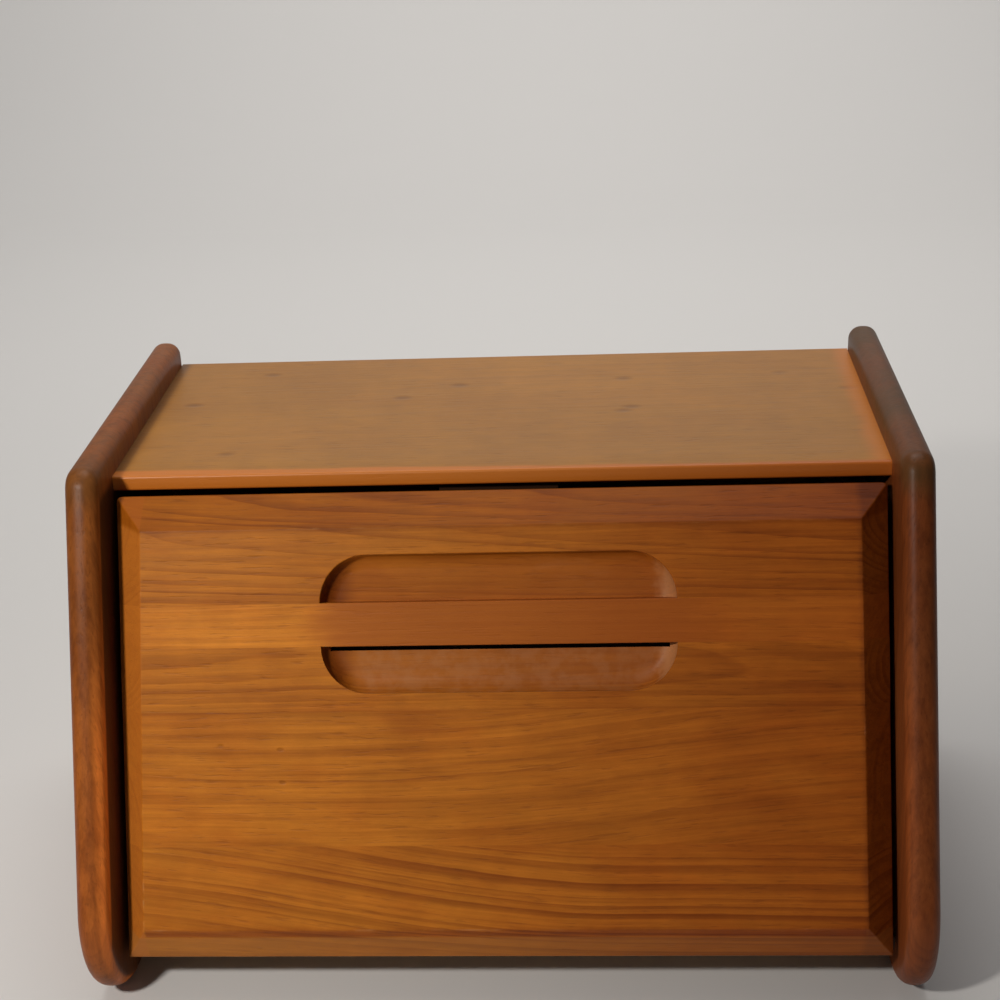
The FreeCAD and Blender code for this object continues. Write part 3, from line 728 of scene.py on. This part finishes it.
def pull_ring(inset, deep):
    """The outline of the pull drawn in by the inset, at one depth."""
    s = sizes()
    half, reach = s.pull_width / 2 - s.pull_reach, s.pull_reach
    foot, head = SHARES["rail"]
    r = reach - inset
    points = [(0.0, foot - r)]
    points += arc((half, foot), r, -90, 0, QUARTER) + arc((half, head), r, 0, 90, QUARTER)
    points += [(0.0, head + r)] + arc((-half, head), r, 90, 180, QUARTER)
    points += arc((-half, foot), r, 180, 270, QUARTER)
    return [(x, deep, z) for x, z in points]


def front_blank(hollowed):
    """The whole raised panel as one closed mesh in its own frame, with or without the pull."""
    s = sizes()
    _, tall = front_frame()
    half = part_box("front_bottom_board")[1].x
    bm = bmesh.new()

    def corners(inset, bottom, top, deep, taper=0.0):
        x, over = half - inset, half - inset - taper
        return [bm.verts.new(p) for p in ((-x, deep, bottom), (0, deep, bottom), (x, deep, bottom),
                                          (over, deep, tall - top), (0, deep, tall - top),
                                          (-over, deep, tall - top))]
    field = corners(s.bevel_side - s.bevel_taper / 3, s.bevel_bottom, s.bevel_top, 0.0,
                    s.bevel_taper)
    field[2].co.x -= s.bevel_extra
    edge = corners(0, 0, 0, s.bevel_depth)
    rear = corners(0, 0, 0, s.front_thickness)
    for near, back in ((field, edge), (edge, rear)):
        for i in range(6):
            j = (i + 1) % 6
            bm.faces.new((near[i], near[j], back[j], back[i]))
    bm.faces.new(rear)
    upper = [e for e in bm.edges if all(abs(abs(v.co.x) - half) < TINY
                                        and abs(v.co.z - tall) < TINY for v in e.verts)]
    bmesh.ops.bevel(bm, geom=upper, offset=s.corner_round, offset_type="OFFSET", segments=4,
                    affect="EDGES", profile=0.5)
    if not hollowed:
        bm.faces.new(field)
        return bm
    turns = 9
    rings = [(0.0, 0.0), (0.0, s.pull_depth - s.pull_cove)]
    for i in range(1, turns + 1):
        a = math.radians(90 * i / turns)
        rings.append((s.pull_cove * (1 - math.cos(a)),
                      s.pull_depth - s.pull_cove + s.pull_cove * math.sin(a)))
    built = stack(bm, [pull_ring(inset, deep) for inset, deep in rings])
    bm.faces.new(built[-1])
    mouth = built[0]
    middle = 1 + 2 * (QUARTER + 1)      # the point halfway round, at the top of the pull
    right, left = mouth[:middle + 1], mouth[middle:] + mouth[:1]
    bm.faces.new([field[1], field[2], field[3], field[4]] + right[::-1])
    bm.faces.new([field[4], field[5], field[0], field[1]] + left[::-1])
    return bm


def score(bm, point, normal, clear=False):
    """Add a line of edges along a plane, and drop what the normal points at if told to."""
    everything = bm.verts[:] + bm.edges[:] + bm.faces[:]
    bmesh.ops.bisect_plane(bm, geom=everything, dist=WELD, plane_co=point, plane_no=normal,
                           clear_outer=clear)


def saw_off(bm, point, normal):
    """Cut the mesh with a plane, drop what the normal points at and close the cut."""
    score(bm, point, normal, True)
    bmesh.ops.edgeloop_fill(bm, edges=[e for e in bm.edges if e.is_boundary])


def drop_loose(bm):
    """Take out edges that no face uses any more."""
    for edge in [e for e in bm.edges if not e.link_faces]:
        bm.edges.remove(edge)


def board_of_front(share, hollowed=False, shape=None):
    """One board of the front, sawn from the panel and leant back into its place."""
    s = sizes()
    matrix, _ = front_frame()
    foot, head = SHARES[share]
    bm = front_blank(hollowed)
    if share == "middle":
        open_slot(bm)
    if foot:
        saw_off(bm, (0, 0, foot), (0, 0, -1))
    if head:
        saw_off(bm, (0, 0, head), (0, 0, 1))
    half = s.pull_width / 2
    if share == "rail":
        for x in (-half, half):
            score(bm, (x, 0, 0), (1, 0, 0))
    if shape:
        shape(bm)
    bmesh.ops.recalc_face_normals(bm, faces=bm.faces)
    joints = [z for z in (foot, head) if z]
    near, short = 1e-5, 1e-4

    def glued(edge):
        """Edges in a glued joint stay sharp, except where the rail crosses the pull."""
        middle = (edge.verts[0].co + edge.verts[1].co) / 2
        on_joint = any(all(abs(v.co.z - z) < near for v in edge.verts) for z in joints)
        return on_joint and not (share == "rail" and abs(middle.x) < half - short
                                 and middle.y < SKIN)
    weigh_edges(bm, glued)
    bm.transform(matrix)
    return bm


def open_slot(bm):
    """The finger slot where it opens into the lower scoop, just under the rail."""
    s = sizes()
    margin = 0.003
    foot, half = SHARES["rail"][0], s.slot_width / 2
    low, above = foot - s.slot_opening, foot + margin
    for point, normal in (((0, 0, low), (0, 0, 1)), ((0, 0, above), (0, 0, 1)),
                          ((-half, 0, 0), (1, 0, 0)), ((half, 0, 0), (1, 0, 0))):
        score(bm, point, normal)
    region = []
    for face in bm.faces:
        at = face.calc_center_median()
        if abs(at.x) < half and low < at.z < above and SKIN / 2 < at.y < s.slot_depth:
            region.append(face)
    inside = set(region)
    rim = [e for face in region for e in face.edges if sum(g in inside for g in e.link_faces) == 1]
    back = {}
    for face in region:
        for v in face.verts:
            if v not in back:
                back[v] = bm.verts.new((v.co.x, s.slot_depth + margin, v.co.z))
    for face in region:
        bm.faces.new([back[v] for v in face.verts])
    for edge in rim:
        first, second = edge.verts
        bm.faces.new((first, second, back[second], back[first]))
    for face in region:
        bm.faces.remove(face)
    drop_loose(bm)
    for vert in [v for v in bm.verts if not v.link_faces]:
        bm.verts.remove(vert)


def shape_rail(bm):
    """The chamfer that the fingers pass over and the slot that they hook into."""
    s = sizes()
    foot, head = SHARES["rail"]
    margin = 0.003
    half = s.pull_width / 2 - margin
    for x in (-half, half):
        score(bm, (x, 0, 0), (1, 0, 0))
    arris = [e for e in bm.edges if all(abs(v.co.y) < TINY and abs(v.co.z - head) < TINY
                                        and abs(v.co.x) < half + TINY for v in e.verts)]
    bmesh.ops.bevel(bm, geom=arris, offset=s.rail_chamfer, offset_type="OFFSET", segments=1,
                    affect="EDGES", profile=0.5)
    half = s.slot_width / 2
    for x in (-half, half):
        score(bm, (x, 0, 0), (1, 0, 0))
    for y in (s.slot_lip, s.slot_depth):
        score(bm, (0, y, 0), (0, 1, 0))
    for face in bm.faces[:]:
        middle = face.calc_center_median()
        if (abs(middle.z - foot) < TINY and abs(middle.x) < half
                and s.slot_lip < middle.y < s.slot_depth):
            rim = list(face.verts)
            roof = [bm.verts.new(v.co + Vector((0, 0, s.slot_rise))) for v in rim]
            for i in range(len(rim)):
                j = (i + 1) % len(rim)
                bm.faces.new((rim[i], rim[j], roof[j], roof[i]))
            bm.faces.new(roof)
            bm.faces.remove(face)
    drop_loose(bm)


class FrontOperator(bpy.types.Operator):
    """Saw the glued-up drawer front from its boards: raised field, bevels and the two scoops"""
    bl_idname = "bread_box.front"
    bl_label = "Drawer front"

    def execute(self, context):
        s, c = sizes(), colours()
        matrix, _ = front_frame()
        origin = tuple(matrix.translation)
        turn = (-s.lean, 0, 0)
        common = dict(turn=turn, origin=origin, coat=0.02, coat_rough=0.30, gloss=0.50, shine=0.14)
        boards = (
            ("top", "front_top_board", True, dict(
                pith=(0.032, 0.220), rise=(-0.045, 0.0), ring=0.0034, wander=0.007, rings=0.72,
                streaks=0.30, seed=2.3, scuffs=0.10, marks=0.25, marks_and_painted_light=pull_marks_and_painted_light)),
            ("middle", "front_middle_board", True, dict(
                pith=(0.024, 0.150), rise=(0.03, -0.02), ring=0.0034, wander=0.009, rings=0.62,
                streaks=0.36, seed=4.9, marks=0.25, marks_and_painted_light=pull_marks_and_painted_light)),
            ("lower", "front_lower_board", False, dict(
                pith=(0.16, 0.040), rise=(0.02, 0.04), ring=0.0026, wander=0.006, rings=0.55,
                streaks=0.34, seed=6.1, marks=0.4, sweep=(-0.05, 0.19, -0.018),
                marks_and_painted_light=bevel_marks_and_painted_light)),
            ("bottom", "front_bottom_board", False, dict(
                pith=(0.030, 0.006), rise=(0.02, 0.0), ring=0.0054, wander=0.006, rings=1.0,
                streaks=0.34, seed=8.7, marks=0.25, sweep=(-0.22, 0.06, 0.030),
                marks_and_painted_light=bevel_marks_and_painted_light)),
        )
        for share, node, hollowed, look in boards:
            finish = wood(f"front_wood_{share}", c.front_light, c.front_dark, **common, **look)
            bm = board_of_front(share, hollowed)
            piece = piece_from(f"sawn_{share}_board", bm, finish)
            fit(ease(piece, s.arris), "drawer", "front_wood", node)
        finish = wood("grip_rail_wood", c.golden_light, c.golden_dark, **common,
                      pith=(0.10, 0.10), rise=(0.02, 0.03), ring=0.0030, wander=0.006, rings=0.40,
                      streaks=0.30, silk=0.26, seed=9.4, marks_and_painted_light=rail_marks_and_painted_light)
        bm = board_of_front("rail", False, shape_rail)
        fit(ease(piece_from("sawn_grip_rail", bm, finish), FINE_ARRIS), "drawer", "grip_rail_wood",
            "front_grip_rail")
        return {"FINISHED"}


# ---------------------------------------------------------------- the plain boards inside
class InsideOperator(bpy.types.Operator):
    """Finish the base, the back, the runners, the stop block and the drawer box"""
    bl_idname = "bread_box.inside"
    bl_label = "Boards inside"

    def execute(self, context):
        c = colours()
        upright = (math.radians(90), 0, 0)
        inner = (c.inner_light, c.inner_dark)
        ply = (c.ply_light, c.ply_dark)
        sideways = (0, 0, math.radians(90))
        dry = dict(coat=0.0, gloss=0.62, relief=0.35)
        looks = (
            # the base with painted shade along its front edge
            ("base_panel", "base", inner, dict(pith=(0.02, -0.03), rise=(0.02, 0.03), seed=11.0,
                                               marks_and_painted_light=base_painted_shade(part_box("base_panel")[0].y))),
            ("drawer_back", "drawer_back", inner, dict(turn=upright, pith=(0.03, -0.02),
                                                       seed=12.0)),
            ("back_panel", "back", ply, dict(turn=upright, pith=(0.10, 0.02), ring=0.008,
                                             wander=0.02, seed=13.0, rings=0.5)),
            ("drawer_bottom", "drawer_bottom", ply, dict(pith=(0.02, -0.10), ring=0.008,
                                                         wander=0.02, seed=14.0, rings=0.5)),
            ("drawer_side_left", "drawer_side_left", inner,
             dict(turn=sideways, pith=(0.04, 0.10), seed=15.0)),
            ("drawer_side_right", "drawer_side_right", inner,
             dict(turn=sideways, pith=(-0.04, 0.11), seed=16.0)),
            ("runner_left", "runner", (c.dowel_light, c.dowel_dark),
             dict(turn=sideways, pith=(0.2, 0.05), ring=0.003, seed=17.0)),
            ("runner_right", "runner", (c.dowel_light, c.dowel_dark), None),
            # painted shade: the stop block in its nearly black colours
            ("stop_block", "stop", (c.stop_painted_shade_pale, c.stop_painted_shade_dark),
             dict(pith=(0.05, 0.2), ring=0.003, seed=18.0, shine=0.05)),
        )
        made = {}
        for node, label, (pale, deep), look in looks:
            if label not in made:
                made[label] = wood(f"{label}_wood", pale, deep, **{**dry, **look})
            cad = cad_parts[node]
            if not cad.material_slots:
                cad.data.materials.append(made[label])
            for slot in cad.material_slots:
                slot.material = made[label]
        return {"FINISHED"}


# ---------------------------------------------------------------- dowels and screws
class Recipe:
    """A geometry recipe under construction: named inputs, nodes and links."""

    def __init__(self, name, inputs):
        self.tree = bpy.data.node_groups.new(name, "GeometryNodeTree")
        face = self.tree.interface
        face.new_socket("Places", in_out="INPUT", socket_type="NodeSocketGeometry")
        for label, kind, value in inputs:
            socket = face.new_socket(label, in_out="INPUT", socket_type=kind)
            if value is not None:
                socket.default_value = value
        face.new_socket("Pieces", in_out="OUTPUT", socket_type="NodeSocketGeometry")
        self.given = self.tree.nodes.new("NodeGroupInput").outputs

    def add(self, kind, inputs=None, **settings):
        node = self.tree.nodes.new(kind)
        for key, value in settings.items():
            setattr(node, key, value)
        for key, value in (inputs or {}).items():
            for item in value if isinstance(value, list) else [value]:
                if isinstance(item, bpy.types.NodeSocket):
                    self.tree.links.new(item, node.inputs[key])
                else:
                    node.inputs[key].default_value = item
        return node

    def math(self, operation, first, second=0.0):
        return self.add("ShaderNodeMath", {0: first, 1: second}, operation=operation).outputs[0]

    def times(self, first, second):
        return self.math("MULTIPLY", first, second)

    def cone(self, vertices, top, bottom, depth, at=None):
        """A cone or a rod that begins at a height."""
        mesh = self.add("GeometryNodeMeshCone", {"Vertices": vertices, "Radius Top": top,
                                                 "Radius Bottom": bottom,
                                                 "Depth": depth}).outputs["Mesh"]
        return mesh if at is None else self.lift(mesh, at)

    def lift(self, geometry, height):
        return self.add("GeometryNodeTransform", {"Geometry": geometry,
                                                  "Translation": self.up(height)}).outputs[0]

    def up(self, value):
        return self.add("ShaderNodeCombineXYZ", {"Z": value}).outputs[0]

    def place(self, shape):
        """Copies of the shape at every place, pointing the way that the place says."""
        way = self.add("GeometryNodeInputNamedAttribute", {"Name": "way"},
                       data_type="FLOAT_VECTOR").outputs["Attribute"]
        turn = self.add("FunctionNodeAlignRotationToVector", {"Vector": way}, axis="Z")
        copies = self.add("GeometryNodeInstanceOnPoints", {
            "Points": self.given["Places"], "Instance": shape, "Rotation": turn.outputs[0]})
        real = self.add("GeometryNodeRealizeInstances", {"Geometry": copies.outputs[0]})
        dressed = self.add("GeometryNodeSetMaterial", {"Geometry": real.outputs[0],
                                                       "Material": self.given["Finish"]})
        done = self.tree.nodes.new("NodeGroupOutput")
        self.tree.links.new(dressed.outputs[0], done.inputs[0])
        return self.tree


def screw_recipe():
    """A countersunk screw: cross recess, cone head, core with a thread round it, and a point."""
    r = Recipe("countersunk_screw", (
        ("Head width", "NodeSocketFloat", 0.007), ("Head depth", "NodeSocketFloat", 0.0026),
        ("Thread width", "NodeSocketFloat", 0.0035), ("Length", "NodeSocketFloat", 0.021),
        ("Pitch", "NodeSocketFloat", 0.0016), ("Finish", "NodeSocketMaterial", None)))
    g = r.given
    head_r, thread_r = (r.times(g[k], 0.5) for k in ("Head width", "Thread width"))
    core = r.times(thread_r, 0.72)
    head = r.cone(28, core, head_r, g["Head depth"])
    arm = r.times(g["Head width"], 0.56)
    thin = r.times(g["Head width"], 0.13)
    deep = r.times(g["Head depth"], 1.3)
    blades = []
    for x, y in ((arm, thin), (thin, arm)):
        size = r.add("ShaderNodeCombineXYZ", {"X": x, "Y": y, "Z": deep}).outputs[0]
        blades.append(r.add("GeometryNodeMeshCube", {"Size": size}).outputs["Mesh"])
    headed = r.add("GeometryNodeMeshBoolean", {"Mesh 1": head, "Mesh 2": blades},
                   operation="DIFFERENCE", solver="EXACT")
    point_long = r.times(g["Thread width"], 1.14)
    straight = r.math("SUBTRACT", r.math("SUBTRACT", g["Length"], g["Head depth"]), point_long)
    shank = r.cone(20, core, core, straight, g["Head depth"])
    tip_at = r.math("ADD", g["Head depth"], straight)
    tip = r.cone(20, r.times(core, 0.08), core, point_long, tip_at)
    run = r.math("SUBTRACT", straight, g["Pitch"])
    ridge_r = r.times(thread_r, 0.84)
    coil = r.add("GeometryNodeCurveSpiral", {
        "Resolution": 18, "Rotations": r.math("DIVIDE", run, g["Pitch"]),
        "Start Radius": ridge_r, "End Radius": ridge_r, "Height": run})
    ridge = r.add("GeometryNodeCurvePrimitiveCircle", {
        "Resolution": 4, "Radius": r.times(thread_r, 0.155)}, mode="RADIUS")
    thread = r.add("GeometryNodeCurveToMesh", {"Curve": coil.outputs[0],
                                               "Profile Curve": ridge.outputs["Curve"],
                                               "Fill Caps": True})
    start = r.math("ADD", g["Head depth"], r.times(g["Pitch"], 0.5))
    thread = r.lift(thread.outputs[0], start)
    whole = r.add("GeometryNodeJoinGeometry", {"Geometry": [
        headed.outputs["Mesh"], shank, tip, thread]})
    return r.place(whole.outputs[0])


def dowel_recipe():
    """A fluted dowel whose ends are chamfered."""
    r = Recipe("fluted_dowel", (
        ("Width", "NodeSocketFloat", 0.005), ("Length", "NodeSocketFloat", 0.024),
        ("Flutes", "NodeSocketInt", 14), ("Finish", "NodeSocketMaterial", None)))
    g = r.given
    outer = r.times(g["Width"], 0.5)
    rim = r.add("GeometryNodeCurveStar", {"Points": g["Flutes"], "Outer Radius": outer,
                                          "Inner Radius": r.times(outer, 0.88)})
    line = r.add("GeometryNodeCurvePrimitiveLine", {"End": r.up(g["Length"])})
    line = r.add("GeometryNodeResampleCurve", {"Curve": line.outputs[0], "Count": 25})
    along = r.add("GeometryNodeSplineParameter").outputs["Factor"]
    from_end = r.math("MINIMUM", along, r.math("SUBTRACT", 1.0, along))
    thick = r.math("MINIMUM", 1.0, r.math("ADD", 0.80, r.times(from_end, 4.8)))
    line = r.add("GeometryNodeSetCurveRadius", {"Curve": line.outputs[0], "Radius": thick})
    rod = r.add("GeometryNodeCurveToMesh", {"Curve": line.outputs[0],
                                            "Profile Curve": rim.outputs["Curve"],
                                            "Scale": thick, "Fill Caps": True})
    return r.place(rod.outputs[0])


def grow(name, recipe, places, ways, **inputs):
    """Run a recipe over the places and keep the result as one plain mesh."""
    mesh = bpy.data.meshes.new(name)
    mesh.from_pydata([tuple(p) for p in places], [], [])
    way = mesh.attributes.new("way", "FLOAT_VECTOR", "POINT")
    for item, direction in zip(way.data, ways):
        item.vector = direction
    piece = bpy.data.objects.new(name, mesh)
    bpy.context.scene.collection.objects.link(piece)
    modifier = piece.modifiers.new(recipe.name, "NODES")
    modifier.node_group = recipe
    sockets = {s.name: s.identifier for s in recipe.interface.items_tree
               if s.item_type == "SOCKET" and s.in_out == "INPUT"}
    for label, value in inputs.items():
        modifier[sockets[label.replace("_", " ")]] = value
    settle(piece)
    if not piece.data.polygons:
        raise RuntimeError(f"{name} came out empty")
    bm = bmesh.new()
    bm.from_mesh(piece.data)
    bmesh.ops.remove_doubles(bm, verts=bm.verts, dist=WELD)
    crease = math.radians(32)
    for edge in bm.edges:
        edge.smooth = edge.calc_face_angle(0.0) < crease
    for face in bm.faces:
        face.smooth = True
    bm.to_mesh(piece.data)
    bm.free()
    return piece


CASE_DOWEL_LONG = 0.024
FRONT_DOWEL_LONG = 0.022
FRONT_DOWEL_SUNK = 0.010    # how far a front dowel reaches into the front
DRAWER_SCREW_LONG = 0.032


def row_of_three(low, high, margin=0.020):
    """Three places between two ends, the outer ones a margin away from them."""
    return [low + margin + i * (high - low - 2 * margin) / 2 for i in range(3)]


class DowelsOperator(bpy.types.Operator):
    """Turn the fluted dowels of the case and of the drawer front"""
    bl_idname = "bread_box.dowels"
    bl_label = "Dowels"

    def execute(self, context):
        s, c = sizes(), colours()
        recipe = dowel_recipe()
        low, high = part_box("case_dowels")
        top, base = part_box("top_panel"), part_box("base_panel")
        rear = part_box("back_panel")[0].y
        places, ways = [], []
        for panel in (top, base):
            for y in row_of_three(panel[0].y, rear):
                for x, way in ((low.x, 1), (high.x, -1)):
                    places.append((x, y, (panel[0].z + panel[1].z) / 2))
                    ways.append((way, 0, 0))
        finish = wood("case_dowel_wood", c.dowel_light, c.dowel_dark, coat=0.0, gloss=0.6,
                      ring=0.002, seed=21.0)
        case = grow("fluted_case_dowels", recipe, places, ways, Width=s.case_dowel,
                    Length=CASE_DOWEL_LONG, Flutes=s.flutes, Finish=finish)
        fit(case, "case", "dowel_wood", "case_dowels")

        matrix, tall = front_frame()
        way = matrix.to_3x3() @ Vector((0, 1, 0))
        wall = (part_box("drawer_side_left")[0].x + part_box("drawer_side_left")[1].x) / 2
        rows = (SHARES["bottom"][1] * 0.75, sum(SHARES["lower"]) / 2, sum(SHARES["middle"]) / 2,
                SHARES["top"][0] + (tall - SHARES["top"][0]) / 4)
        places = [matrix @ Vector((x, s.front_thickness - FRONT_DOWEL_SUNK, z))
                  for x in (wall, -wall) for z in rows]
        finish = wood("front_dowel_wood", c.dowel_light, c.dowel_dark, coat=0.0, gloss=0.6,
                      turn=(0, 0, math.radians(90)), ring=0.002, seed=22.0)
        front = grow("fluted_front_dowels", recipe, places, [way] * len(places),
                     Width=s.front_dowel, Length=FRONT_DOWEL_LONG, Flutes=s.flutes,
                     Finish=finish)
        fit(front, "drawer", "dowel_wood", "front_dowels")
        return {"FINISHED"}


class ScrewsOperator(bpy.types.Operator):
    """Drive the screws of the runners, the stop block and the drawer back"""
    bl_idname = "bread_box.screws"
    bl_label = "Screws"

    def execute(self, context):
        s = sizes()
        recipe, finish = screw_recipe(), plated_steel()
        common = dict(Head_width=s.screw_head, Thread_width=s.screw_shank,
                      Pitch=s.screw_pitch, Finish=finish)
        for node in ("runner_screws", "stop_screws", "drawer_screws"):
            low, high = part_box(node)
            if node == "stop_screws":
                y = (low.y + high.y) / 2
                reach = s.screw_head / 2
                places = [(x, y, low.z) for x in (low.x + reach, high.x - reach)]
                ways = [(0, 0, 1)] * 2
                long = high.z - low.z
            else:
                out = node == "runner_screws"
                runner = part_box("runner_right")
                if out:
                    x, long = runner[0].x, high.x - runner[0].x
                    height = (runner[0].z + runner[1].z) / 2
                    row = [(y, height) for y in row_of_three(runner[0].y, runner[1].y)]
                else:
                    x, long = high.x, DRAWER_SCREW_LONG
                    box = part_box("drawer_back")
                    y = (box[0].y + box[1].y) / 2
                    row = [(y, z) for z in row_of_three(box[0].z, box[1].z)]
                places = [(hand * x, y, z) for hand in (-1, 1) for y, z in row]
                ways = [(hand if out else -hand, 0, 0) for hand in (-1, 1) for _ in row]
            piece = grow("threaded_" + node, recipe, places, ways, Length=long, **common)
            fit(piece, "drawer" if node == "drawer_screws" else "case", "screw_steel", node)
        return {"FINISHED"}


# ---------------------------------------------------------------- the stage
class StageOperator(bpy.types.Operator):
    """Lay the pale floor, hang the soft lights and set up the camera"""
    bl_idname = "bread_box.stage"
    bl_label = "Stage"

    def execute(self, context):
        scene = context.scene
        bm = bmesh.new()
        reach, bend, curve, height = 4.0, 1.4, 0.8, 3.0
        outline = [(-reach, 0.0), (bend, 0.0), *arc((bend, curve), curve, -90, 0, 14),
                   (bend + curve, height)]
        rows = [[bm.verts.new((x, y, z)) for y, z in outline] for x in (-reach, reach)]
        for i in range(len(outline) - 1):
            bm.faces.new((rows[0][i], rows[1][i], rows[1][i + 1], rows[0][i + 1]))
        floor = piece_from("paper_sweep", bm, paper())
        if floor.data.polygons[0].normal.z < 0:
            floor.data.flip_normals()

        def lamp(name, power, size, place, target, colour, cone=180):
            light = bpy.data.lights.new(name, "AREA")
            light.shape, light.size, light.energy, light.color = "DISK", size, power, colour
            light.spread = math.radians(cone)
            lantern = bpy.data.objects.new(name, light)
            scene.collection.objects.link(lantern)
            lantern.location = place
            lantern.visible_camera = False
            way = Vector(place) - Vector(target)
            lantern.rotation_euler = way.to_track_quat("Z", "Y").to_euler()
        lamp("key_light", 2.5, 0.08, (-0.42, -0.72, 0.70), (-0.15, -0.12, 0.08), (1.0, 0.95, 0.89),
             120)
        lamp("ceiling_light", 2.8, 1.1, (-0.15, 0.1, 1.6), (0, 0, 0.2), (1.0, 0.97, 0.93))
        lamp("backdrop_light", 35, 1.4, (0, 0.7, 2.0), (0, 2.1, 0.8), (1.0, 0.97, 0.94))
        world = scene.world or bpy.data.worlds.new("studio")
        scene.world = world
        world.use_nodes = True
        sky = next(n for n in world.node_tree.nodes if n.type == "BACKGROUND")
        sky.inputs["Color"].default_value = (0.95, 0.96, 1.0, 1.0)
        sky.inputs["Strength"].default_value = 0.08

        view = bpy.data.cameras.new("studio_camera")
        view.lens, view.sensor_width = 64.21, 36.0
        view.shift_x, view.shift_y = 0.01228, 0.01968
        eye = bpy.data.objects.new("studio_camera", view)
        scene.collection.objects.link(eye)
        pitch, yaw, roll = (math.radians(a) for a in (24.11, -4.17, -2.74))
        ahead = Vector((math.sin(yaw) * math.cos(pitch), math.cos(yaw) * math.cos(pitch),
                        -math.sin(pitch)))
        right = Vector((math.cos(yaw), -math.sin(yaw), 0.0))
        above = right.cross(ahead)
        rolled = right * math.cos(roll) + above * math.sin(roll)
        above = above * math.cos(roll) - right * math.sin(roll)
        turn = Matrix((rolled, above, -ahead)).transposed().to_4x4()
        eye.matrix_world = Matrix.Translation((0.05393, -0.84634, 0.59038)) @ turn
        scene.camera = eye
        scene.view_settings.view_transform = "Standard"
        return {"FINISHED"}


# ---------------------------------------------------------------- the add-on
OPERATORS = (SidesOperator, TopOperator, FrontOperator, InsideOperator, DowelsOperator,
             ScrewsOperator, StageOperator)


class BreadBoxPanel(bpy.types.Panel):
    """Lists the steps in their order"""
    bl_idname = "VIEW3D_PT_bread_box"
    bl_label = "Bread box"
    bl_space_type = "VIEW_3D"
    bl_region_type = "UI"
    bl_category = "Bread box"

    def draw(self, context):
        for operator in OPERATORS:
            self.layout.operator(operator.bl_idname)
        for group in (context.scene.bread_box_sizes, context.scene.bread_box_colours):
            column = self.layout.column(align=True)
            for name in group.__annotations__:
                column.prop(group, name)


CLASSES = (BreadBoxSizes, BreadBoxColours) + OPERATORS + (BreadBoxPanel,)


def register():
    for item in CLASSES:
        bpy.utils.register_class(item)
    bpy.types.Scene.bread_box_sizes = PointerProperty(type=BreadBoxSizes)
    bpy.types.Scene.bread_box_colours = PointerProperty(type=BreadBoxColours)


def unregister():
    del bpy.types.Scene.bread_box_colours
    del bpy.types.Scene.bread_box_sizes
    for item in reversed(CLASSES):
        bpy.utils.unregister_class(item)


def main():
    register()
    for operator in OPERATORS:
        group, name = operator.bl_idname.split(".")
        getattr(getattr(bpy.ops, group), name)()
    bpy.context.view_layer.update()


if __name__ == "__main__":
    main()
